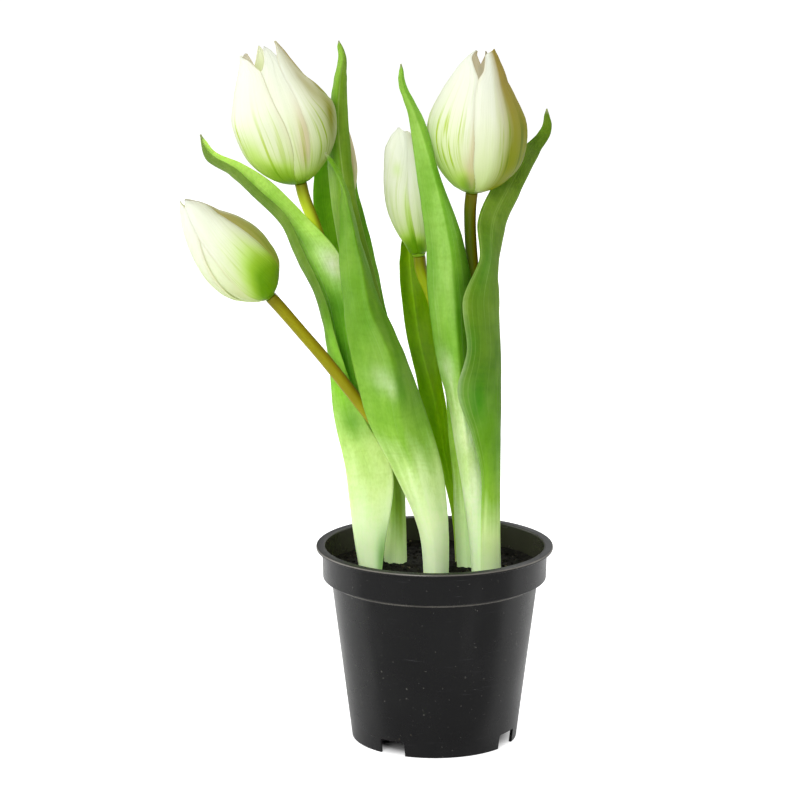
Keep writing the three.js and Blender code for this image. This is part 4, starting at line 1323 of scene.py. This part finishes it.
# %% Fuller and flatter sides
# rows of (share of height, mm at the flower's right side, mm at its left side)
FULLNESS = {
    "top_left": [(0, 0, 0), (0.05, -0.5, 0.5), (0.3, 0.5, 0.3), (0.5, 0.8, 0), (0.64, -1.8, -0.8),
                 (0.72, -3.2, 0), (0.9, -3.4, 0.5), (1, -4.5, 1.2)],
    "low_left": [(0, 0, 0), (0.15, 1.3, 0.5), (0.3, 0, 0), (0.5, -0.3, -0.5), (0.62, -1.4, -0.7),
                 (0.75, -3.6, -0.8), (0.9, -2.8, -0.7), (1, -3, -0.5)],
    "centre": [(0, 0, 0), (0.1, -1, -1.4), (0.28, -0.6, -0.8), (0.5, 0, 0.2), (0.7, 0.5, 0.9),
               (0.86, 1, 2.2), (0.95, 1, 1.2), (1, 0, 0)],
    "top_right": [(0, 0, 0), (0.07, 1.8, 0), (0.2, 1.9, -0.5), (0.4, 0.8, 0.6), (0.52, 0.3, 1),
                  (0.67, -2.6, -0.5), (0.78, -3.7, -0.8), (0.92, -1.5, -0.3), (1, 0.5, -1)],
    "back_left": [(0, 0, 0), (1, 0, 0)],
}

# %% Soft patches of colour
# rows of (petal, kind, share of height, turn, how tall, how wide in degrees, strength)
PATCHES = {
    "top_left": [(3, "blush", 0.42, -63, 0.17, 8, 0.9), (3, "blush", 0.24, -68, 0.12, 10, 0.8),
                 (1, "tan", 0.86, -14, 0.12, 9, 0.6), (1, "tan", 0.66, -36, 0.12, 7, 0.3),
                 (1, "tan", 0.42, -24, 0.16, 9, 0.5), (0, "green", 0.3, -138, 0.16, 22, 0.5),
                 (0, "green", 0.16, -110, 0.1, 30, 0.4), (0, "veins", 0.32, -150, 0.26, 50, 1.6),
                 (1, "veins", 0.4, -28, 0.36, 22, 1.6), (3, "veins", 0.2, -75, 0.2, 25, 0.7),
                 (2, "green", 0.8, 118, 0.1, 30, 0.2)],
    "low_left": [(0, "green", 0.16, -60, 0.22, 40, 0.75), (0, "green", 0.42, -58, 0.26, 34, 0.3),
                 (0, "green", 0.16, -20, 0.16, 20, 0.4), (0, "tan", 0.58, -24, 0.16, 8, 0.3),
                 (0, "tan", 0.36, -22, 0.16, 8, 0.3), (1, "green", 0.5, -150, 0.5, 22, 0.16),
                 (3, "blush", 0.2, -126, 0.08, 20, 0.25), (0, "veins", 0.5, -66, 0.35, 34, 0.15)],
    "centre": [(0, "green", 0.7, -112, 0.07, 14, 0.3), (0, "green", 0.3, -97, 0.22, 9, 0.36),
               (1, "green", 0.06, -82, 0.12, 30, 0.6), (0, "green", 0.06, -110, 0.1, 60, 0.4),
               (0, "tan", 0.6, -176, 0.4, 9, 0.3),
               (0, "green", 0.12, -120, 0.16, 50, 0.25), (0, "veins", 0.7, -125, 0.3, 30, 0.8),
               (0, "green", 0.5, -120, 0.4, 60, 0.1), (0, "green", 0.16, -98, 0.1, 26, 0.08)],
    "top_right": [(0, "blush", 0.42, -94, 0.2, 4, 0.8), (0, "blush", 0.16, -92, 0.14, 8, 0.9),
                  (1, "tan", 0.78, -44, 0.14, 6, 0.5), (1, "tan", 0.5, -40, 0.16, 5, 0.9),
                  (1, "tan", 0.24, -34, 0.14, 16, 0.6), (0, "green", 0.2, -148, 0.2, 26, 0.28),
                  (0, "green", 0.1, -97, 0.1, 20, 0.6),
                  (0, "blush", 0.2, -100, 0.12, 10, 0.5),
                  (0, "veins", 0.42, -128, 0.34, 34, 1.9), (1, "veins", 0.4, -38, 0.4, 22, 1.6),
                  (0, "green", 0.45, -150, 0.3, 24, 0.15)],
    "back_left": [(0, "blush", 0.6, -60, 0.5, 50, 1), (1, "blush", 0.6, 0, 0.5, 60, 1),
                  (3, "blush", 0.6, -30, 0.5, 50, 1), (0, "tan", 0.4, -20, 0.5, 30, 0.6)],
}


# %% [markdown]
# ### Shaping one petal
#
# A petal is a sheet whose points lie at the egg's radius, turned between its two margins. Inner
# petals lie one step further in, each petal laps over its neighbour, the margins of the outer ones
# curl in, and the middle has a shallow crease. In a shut bud the inner petals fold together at the
# top, so that nothing dark shows between the tips.

# %% Shape one petal
PETAL_THICKNESS, PETAL_STEP, PETAL_LAP, PETAL_CURL = 0.8, 1.6, 0.15, 1.0
PETAL_ROWS, PETAL_COLUMNS, INNER_FROM = 72, 41, 3
SWELL, PETAL_CREASE = 0.3, 0.25
FOLD, FOLD_FROM, FOLD_OVER = 0.42, 0.7, 0.3


def petal(flower, number, to_bloom):
    """Petals 0 to 2 are the outer layer, 3 to 5 the inner one. Returns the sheet and its turns."""
    inner = number >= INNER_FROM
    stations = PETALS[flower["name"]][number][-1]
    along, left, right = through(stations, np.linspace(0, 1, PETAL_ROWS)).T[:, :, None]
    across = across_steps(PETAL_COLUMNS)[None, :]
    tall = np.linalg.norm(np.subtract(flower["tip"], flower["base"]))
    egg = egg_radius(flower["open"], along[:, 0])[:, None]
    swing = np.radians((left + right) / 2 + (right - left) / 2 * across)
    share, at_right, at_left = np.array(FULLNESS[flower["name"]]).T
    fuller = (np.interp(along, share, at_right) * np.clip(np.cos(swing), 0, 1)
              + np.interp(along, share, at_left) * np.clip(-np.cos(swing), 0, 1))
    grown = np.minimum(1, 0.4 + along / 0.4) * np.minimum(1, egg * 1.3)
    seed = 50 + 10 * FLOWERS.index(flower) + number
    swell = (SWELL * bumps(along * 60, across * 9, 11, seed)
             - PETAL_CREASE * np.exp(-((across / 0.1) ** 2)) * along)
    curl = PETAL_CURL * (1 - inner) * np.clip((np.abs(across) - 0.4) / 0.6, 0, 1) ** 2
    out = flower["radius"] * egg + fuller
    out = out + grown * (PETAL_LAP * across - PETAL_STEP * inner + swell - curl)
    if inner and flower["open"] == 0:
        out = out * (1 - FOLD * np.clip((along - FOLD_FROM) / FOLD_OVER, 0, 1) ** 1.3)
    flat = np.stack([out * np.cos(swing), out * np.sin(swing),
                     np.broadcast_to(1 + (tall - 1) * along, out.shape)], -1)
    rounding = np.sqrt(np.clip((1 - np.abs(across)) / 0.05, 0.1, 1))
    thickness = PETAL_THICKNESS * (1 - 0.45 * np.abs(across) ** 2) * rounding
    return (sheet(to_bloom(flat), np.broadcast_to(thickness, out.shape), along[:, 0]),
            np.broadcast_to(along, out.shape), np.broadcast_to(np.degrees(swing), out.shape))


# %% [markdown]
# ### Into place
#
# Petals are easiest to draw on a flower that stands upright at the origin. A small frame of three
# directions then leans each flower and carries it to its stem's end.

# %% From an upright flower to its place
def bloom_frame(flower):
    """Turns points about an upright flower into its place on the plant."""
    base, tip = np.array(flower["base"], float), np.array(flower["tip"], float)
    axis = unit(tip - base)
    side = unit(np.array([1, 0, 0]) - axis * axis[0])
    front = np.cross(axis, side)
    return lambda points: base + points @ np.stack([side, front, axis])


# %% [markdown]
# ### Petal skin
#
# The petals are white with a breath of green. At the seat of the flower the green is strong, and it
# fades out upwards. The side away from the main light is painted olive, which is painted shade, and
# pink blush shows where petals pressed together. The inner faces are paler than the outer ones.

# %% White, green, painted olive shade and blush
def petal_colours(skin, along, lift):
    colour = skin.ramp(skin.minus(along, lift), [
        (0.0, srgb(200, 220, 134)), (0.14, srgb(212, 229, 160)), (0.36, srgb(224, 234, 190)),
        (0.6, srgb(231, 236, 211)), (1.0, srgb(232, 236, 220))])
    colour = skin.mix(skin.times(skin.trait("inside"), 0.75), colour, srgb(242, 245, 226))
    green = skin.plus(skin.trait("green"), skin.times(lift, 0.8))
    greens = skin.ramp(green, [(0.0, srgb(206, 230, 122)), (0.5, srgb(180, 220, 68)),
                               (1.0, srgb(110, 162, 0))])
    colour = skin.mix(skin.spread(green, 0, 0.8), colour, greens)
    shade_olive = skin.ramp(along, [(0.3, srgb(136, 146, 0)), (0.85, srgb(160, 142, 60))])
    # painted shade: olive on the side away from the main light
    colour = skin.mix(skin.trait("tan"), colour, shade_olive)
    return skin.mix(skin.times(skin.trait("blush"), 0.6), colour, srgb(206, 182, 142))


# %% [markdown]
# ### Veins of a petal
#
# Green runs up each petal in soft veins. Two noises stretched along the sheet give wide and fine
# ones; a third, much larger one decides where they gather, and they fade towards the tip.

# %% Green veins
def petal_veins(skin, colour, along, seed, wide, fine):
    gathered = skin.noise(skin.stretch(skin.sheet, 3.5, 2.2), 1, 1, seed=seed)
    where = skin.plus(skin.spread(gathered, 0.4, 0.6, 0, 0.45), skin.trait("veins"))
    fading = skin.ramp(along, [(place, srgb(grey, grey, grey)) for place, grey in
                               ((0.0, 90), (0.14, 255), (0.4, 235), (0.62, 120), (0.9, 60))])
    for veins, amount in ((skin.spread(wide, 0.52, 0.64), 1.0), (skin.spread(fine, 0.5, 0.7), 0.4)):
        strength = skin.times(skin.times(skin.times(veins, fading), amount), where)
        colour = skin.mix(strength, colour, srgb(206, 226, 84), "MULTIPLY")
    return colour


# %% [markdown]
# ### The whole petal skin
#
# Thin margins dry to a warm tan, and so do the tips. A little light passes into the flesh, which
# softens every shadow, and the inner faces glow faintly: that stands for daylight shining through
# the petals into the cup.

# %% Petal skin
INSIDE_GLOW = 0.17


def petal_skin():
    skin = Finish("petal", Specular_IOR_Level=0.15, Subsurface_Weight=0.3, Subsurface_Scale=1)
    skin.shader.inputs["Subsurface Radius"].default_value = (0.0012, 0.0012, 0.0011)
    across, along, _ = skin.split(skin.sheet)
    seed = skin.trait("petal")
    drift = skin.noise(skin.stretch(skin.sheet, 5, 1.6), 1, 3, seed=seed)
    lift = skin.times(skin.minus(drift, 0.5), 0.3)
    wide = skin.noise(skin.stretch(skin.sheet, 22, 1.3), 1, 2, seed=seed, distortion=0.3)
    fine = skin.noise(skin.stretch(skin.sheet, 70, 1.6), 1, 3, seed=seed)
    colour = petal_colours(skin, along, lift)
    colour = petal_veins(skin, colour, along, seed, wide, fine)
    off_middle = skin.sums("ABSOLUTE", skin.minus(across, 0.5))
    rim = skin.plus(skin.spread(off_middle, 0.38, 0.5, 0, 0.16),
                    skin.spread(off_middle, 0.47, 0.5, 0, 0.16))
    rim = skin.times(rim, skin.spread(along, 0.05, 0.35))
    colour = skin.mix(rim, colour, srgb(222, 200, 140))
    dry = skin.times(skin.trait("dry"), skin.spread(along, 0.55, 0.9, 0.1, 0.8))
    colour = skin.mix(dry, colour, srgb(152, 136, 92))
    skin.glow(srgb(230, 235, 184), skin.times(skin.trait("inside"), INSIDE_GLOW))
    ribs = skin.plus(fine, skin.times(wide, 3))
    return skin.finish(colour, skin.spread(drift, 0.3, 0.7, 0.38, 0.48), skin.relief(ribs, 0.12))


petal_finish = petal_skin()

# %% [markdown]
# ### Tints on the points
#
# The shader can't know which side of which petal turns from the light, so every point carries its
# own numbers: how much painted olive shade, how green, how blushed and how veined it is. The inner
# face gets only a share of what the outer face has.

# %% Tints on the points
SEAT_GREEN_REACH = 0.13
# painted shade: each bloom's side that turns towards +X, away from the main light, is painted olive
SHADE_OVER = 0.48  # how softly, as a cosine, the olive side begins
SHADE_ENDS, SHADE_FADES = 34, 40  # the turn where it ends behind, and over how many degrees
INSIDE_SHARE = {"tan": 0.15, "green": 0.6, "blush": 0.5, "veins": 0.4}
INSIDE_DRY = 0.1


def petal_tints(flower, number, along, turns):
    """How much painted olive shade, green, blush and veins each point of one petal has."""
    tan, green, _, _ = PETALS[flower["name"]][number]
    # painted shade: olive where the petal turns away from the main light
    shaded = np.clip((np.cos(np.radians(turns)) - flower["shade"]) / SHADE_OVER, 0, 1)
    shaded = shaded * np.clip((SHADE_ENDS - turns) / SHADE_FADES, 0, 1)
    tints = {"tan": tan * shaded, "green": green * np.exp(-((along / SEAT_GREEN_REACH) ** 1.5)),
             "blush": np.zeros_like(along), "veins": np.zeros_like(along)}
    for wanted, kind, share, turn, tall, wide, strength in PATCHES[flower["name"]]:
        if wanted == number:
            tints[kind] = tints[kind] + strength * np.exp(
                -(((along - share) / tall) ** 2) - ((turns - turn) / wide) ** 2)
    return {kind: np.clip(values, 0, 2 if kind == "veins" else 1)
            for kind, values in tints.items()}


# %% [markdown]
# ### Building the blooms
#
# Each bloom is one piece: a small green receptacle that sits on the stem's end, and six petals
# round it. The frame replaces the solid bloom with it.

# %% Build the blooms
RECEPTACLE_RADIUS, RECEPTACLE_EDGE, RECEPTACLE_SIDES = 3.06, 0.3, 40


def receptacle(flower, to_bloom):
    radius = flower["radius"]
    tall = np.linalg.norm(np.subtract(flower["tip"], flower["base"]))
    points, faces, uv = turned([
        (0, 0), (RECEPTACLE_RADIUS * 0.9, 0), (RECEPTACLE_RADIUS, RECEPTACLE_EDGE),
        (max(RECEPTACLE_RADIUS, 0.3 * radius), 0.03 * tall),
        (0.22 * radius, 0.07 * tall), (0, 0.08 * tall)], RECEPTACLE_SIDES)
    return to_bloom(points), faces, uv * 0


for flower in FLOWERS:
    name, petals, to_bloom = flower["name"], PETALS[flower["name"]], bloom_frame(flower)
    parts = [receptacle(flower, to_bloom)]
    traits = {trait: [np.zeros(len(parts[0][0]))]
              for trait in ("petal", "inside", "dry", "tan", "green", "blush", "veins")}
    traits["green"][0] += petals[0][1]
    for number, (_, _, dry, _) in enumerate(petals):
        part, along, turns = petal(flower, number, to_bloom)
        parts.append(part)
        size = len(part[0])
        traits["petal"].append(np.full(size, 3.1 * number + 20 * FLOWERS.index(flower)))
        traits["inside"].append(np.repeat([1, 0], size // 2))
        traits["dry"].append(np.repeat([dry or INSIDE_DRY, dry], size // 2))
        for kind, values in petal_tints(flower, number, along, turns).items():
            within = values * INSIDE_SHARE[kind]
            traits[kind].append(np.concatenate([within.ravel(), values.ravel()]))
    traits = {trait: np.concatenate(values).astype(np.float32) for trait, values in traits.items()}
    add_piece("bloom_" + name + "_fine", parts, petal_finish, "bloom_" + name, traits)

# %% [markdown]
# ### Pistil and stamens
#
# In the middle of a tulip stands the pistil, a green column with a three-lobed top, and round it
# stand six stamens, each a pale filament with a long anther full of pollen. Only the two half-open
# flowers get them, because nothing shows inside a closed bud.

# %% Finish of the pistil and stamens
heart_skin = Finish("pistil_and_stamens", Specular_IOR_Level=0.2)
pollen = heart_skin.noise(heart_skin.spots, 1800, 3)
fleshy = heart_skin.ramp(pollen, [(0.3, srgb(186, 206, 116)), (0.7, srgb(214, 226, 156))])
dusty = heart_skin.ramp(pollen, [(0.35, srgb(176, 138, 40)), (0.65, srgb(224, 194, 96))])
heart_skin.finish(heart_skin.mix(heart_skin.trait("anther"), fleshy, dusty), 0.6,
                  heart_skin.relief(pollen, 0.3))


# %% Pistil and stamens
# the pistil's profile as (radius, height), in mm above the flower's base
PISTIL = [(0, 4), (2.4, 5), (2.8, 9), (2.6, 15), (2.2, 19), (3.3, 21.5), (2.6, 23.4), (0, 23.8)]
LOBES_FROM, LOBES_OVER, LOBE_DEPTH, PISTIL_SIDES = 17, 4, 0.24, 36
STAMEN_COUNT, STAMEN_FIRST_TURN, STAMEN_STEPS, STAMEN_SIDES = 6, 15, 24, 10
STAMEN_FOOT, STAMEN_TALL, FILAMENT_SHARE = 4.5, 19, 0.42
FILAMENT_RADIUS, ANTHER_RADIUS = 0.45, 1.15


def heart(flower):
    """The pistil and its six stamens, and how much of an anther each point is."""
    to_bloom = bloom_frame(flower)
    points, faces, uv = turned(PISTIL, PISTIL_SIDES)
    turn = np.arctan2(points[:, 1], points[:, 0])
    lobed = np.cos(3 * turn) * np.clip((points[:, 2] - LOBES_FROM) / LOBES_OVER, 0, 1)
    points[:, :2] *= 1 + LOBE_DEPTH * lobed[:, None]
    parts, anther = [(to_bloom(points), faces, uv)], [np.zeros(len(points))]
    share = np.linspace(0, 1, STAMEN_STEPS)
    in_anther = np.clip((share - FILAMENT_SHARE) / (1 - FILAMENT_SHARE), 0, 1)
    radii = np.maximum(FILAMENT_RADIUS, ANTHER_RADIUS * np.sqrt(np.sin(math.pi * in_anther)))
    reach, height = 3.4 + 3.2 * share - 0.8 * share**2, STAMEN_FOOT + STAMEN_TALL * share
    for turn in np.radians(STAMEN_FIRST_TURN + 360 / STAMEN_COUNT * np.arange(STAMEN_COUNT)):
        path = np.stack([reach * np.cos(turn), reach * np.sin(turn), height], -1)
        parts.append(tube(to_bloom(path), radii, STAMEN_SIDES))
        anther.append(np.repeat(in_anther > 0, STAMEN_SIDES))
    return parts, np.concatenate(anther).astype(np.float32)


for flower in FLOWERS:
    if flower["open"] > 0:
        parts, anther = heart(flower)
        add_piece("heart_" + flower["name"], parts, heart_skin, None, {"anther": anther})

# %% [markdown]
# ## Bulbs
#
# Each shoot grows from a bulb under the soil. Nobody sees them in the finished pot, but they are
# what the plant grows from: a plump body with a flat base and a papery brown skin.

# %% Bulbs
BULB_TALL, BULB_SIDES, BULB_STEPS = 32, 48, 26
BULB_PROFILE = [(5, -32), (11, -28), (13, -20), (10, -11), (5, -3), (4, 0)]
bulb_skin = Finish("papery_bulb_skin", Specular_IOR_Level=0.3)
tunic = bulb_skin.noise(bulb_skin.stretch(bulb_skin.sheet, 60, 2), 1, 4)
bulb_colour = bulb_skin.ramp(tunic, [(0.3, srgb(112, 62, 30)), (0.6, srgb(168, 104, 54)),
                                     (0.8, srgb(206, 160, 104))])
bulb_skin.finish(bulb_colour, 0.55, bulb_skin.relief(tunic, 0.3))
body = through(BULB_PROFILE, np.linspace(0, 1, BULB_STEPS))
for flower in FLOWERS:
    line = [(0, BULB_NOSE_HEIGHT - BULB_TALL), *[(r, BULB_NOSE_HEIGHT + z) for r, z in body],
            (0, BULB_NOSE_HEIGHT)]
    points, faces, uv = turned(line, BULB_SIDES)
    points = points + np.array([*flower["bulb"], 0])
    add_piece("bulb_" + flower["name"] + "_fine", [(points, faces, uv)], bulb_skin,
              "bulb_" + flower["name"])

# %% [markdown]
# ## The floor
#
# The plant stands on a plain pale floor. In a studio such a floor has lights of its own until it is
# pure white, so ours glows, but only for the camera and only outside the pot's foot, where a soft
# shade stays. In the plastic's reflection the floor in front is a plain grey.

# %% Floor
FLOOR_RADIUS, FLOOR_GLOW = 15, 0.72
SHADE_EDGE = (31, 43)  # mm from the middle of the pot, from dark to lit
GREY_FRONT = (-55, -30)  # mm along Y, from grey in reflections to pale
floor_paint = Finish("pale_floor", Specular_IOR_Level=0.1)
straight, mirrored = (floor_paint.node("ShaderNodeLightPath", {}, ray)
                      for ray in ("Is Camera Ray", "Is Glossy Ray"))
from_pot = floor_paint.node("ShaderNodeVectorMath", {0: floor_paint.spots}, "Value",
                            operation="LENGTH")
lit = floor_paint.times(straight, floor_paint.spread_mm(from_pot, *SHADE_EDGE))
floor_paint.glow((1, 1, 1, 1), floor_paint.times(lit, FLOOR_GLOW))
paper = floor_paint.ramp(floor_paint.noise(floor_paint.spots, 3, 2),
                         [(0.3, srgb(228, 228, 228)), (0.7, srgb(234, 234, 234))])
in_front = floor_paint.spread_mm(floor_paint.split(floor_paint.spots)[1], *GREY_FRONT, 1, 0)
paper = floor_paint.mix(floor_paint.times(mirrored, in_front), paper, srgb(174, 174, 174))
floor_paint.finish(paper, 0.8)
floor_mesh = bpy.data.meshes.new("floor")
round_floor = bmesh.new()
bmesh.ops.create_circle(round_floor, cap_ends=True, radius=FLOOR_RADIUS, segments=96)
round_floor.to_mesh(floor_mesh)
round_floor.free()
floor_mesh.materials.append(floor_paint.material)
floor = bpy.data.objects.new("floor", floor_mesh)
bpy.context.scene.collection.objects.link(floor)

# %% [markdown]
# ## Light
#
# Five soft boxes light the plant: a strong one above the front left, one at each side whose bright
# edges run down the pot, one behind that outlines the leaves, and one overhead. Area lights give
# the wide soft shadows of such boxes.

# %% Soft boxes
# name, place and aim in metres, width and height in metres, power in watts
SOFT_BOXES = [
    ("left_box", (-1.1, 0.3, 0.5), (0, 0, 0.2), 0.9, 1.1, 6.5),
    ("right_box", (1.1, 0.3, 0.5), (0, 0, 0.2), 0.6, 1.0, 2.3),
    ("back_box", (0.3, 1.4, 1.2), (0, 0, 0.2), 0.9, 0.7, 9),
    ("front_box", (-0.6, -1.6, 0.95), (0, 0, 0.17), 0.8, 0.8, 18.2),
    ("top_box", (0, -0.4, 1.9), (0, 0, 0.2), 0.8, 0.8, 7),
]
for name, place, aim, width, height, power in SOFT_BOXES:
    light = bpy.data.lights.new(name, "AREA")
    light.shape, light.size, light.size_y, light.energy = "RECTANGLE", width, height, power
    lamp = bpy.data.objects.new(name, light)
    lamp.location = place
    lamp.rotation_euler = (Vector(aim) - Vector(place)).to_track_quat("-Z", "Y").to_euler()
    bpy.context.scene.collection.objects.link(lamp)
print("soft boxes:", len(SOFT_BOXES))

# %% [markdown]
# ### The white room
#
# Around the boxes is a white room. The camera sees it pure white, but it lights the plant only
# dimly, to fill the shadows, and it is dimmer still in reflections, which keeps the plastic black.

# %% The white room
ROOM_FILL, ROOM_REFLECTED = 0.45, 0.2
room = bpy.data.worlds.new("white_room")
room.use_nodes = True
bpy.context.scene.world = room
nodes, links = room.node_tree.nodes, room.node_tree.links
dim, bright = nodes["Background"], nodes.new("ShaderNodeBackground")
dim.inputs["Color"].default_value = (1, 1, 1, 1)
bright.inputs["Color"].default_value = (1, 1, 1, 1)
bright.inputs["Strength"].default_value = 1.0
reflected = nodes.new("ShaderNodeMapRange")
reflected.inputs["To Min"].default_value = ROOM_FILL
reflected.inputs["To Max"].default_value = ROOM_REFLECTED
seen, choose = nodes.new("ShaderNodeLightPath"), nodes.new("ShaderNodeMixShader")
links.new(seen.outputs["Is Glossy Ray"], reflected.inputs["Value"])
links.new(reflected.outputs[0], dim.inputs["Strength"])
links.new(seen.outputs["Is Camera Ray"], choose.inputs[0])
links.new(dim.outputs[0], choose.inputs[1])
links.new(bright.outputs[0], choose.inputs[2])
links.new(choose.outputs[0], nodes["World Output"].inputs["Surface"])
bpy.context.scene.view_settings.view_transform = "Standard"

# %% [markdown]
# ## Camera
#
# A long lens stands well back and looks down a little. That keeps the pot's ellipses flat and the
# flowers upright, with little perspective.

# %% Camera
SENSOR_MM, LENS_MM, SEES_TO = 36, 156.15, 20
CAMERA_PLACE = (0, -1.7027, 0.5466)
LOOKS_DOWN, TURNED_LEFT = 12.32, 0.59
lens = bpy.data.cameras.new("camera")
lens.sensor_width, lens.lens, lens.clip_end = SENSOR_MM, LENS_MM, SEES_TO
camera = bpy.data.objects.new("camera", lens)
camera.location = CAMERA_PLACE
camera.rotation_euler = (math.radians(90 - LOOKS_DOWN), 0, math.radians(TURNED_LEFT))
bpy.context.scene.collection.objects.link(camera)
bpy.context.scene.camera = camera
print("camera stands back, m:", -CAMERA_PLACE[1])
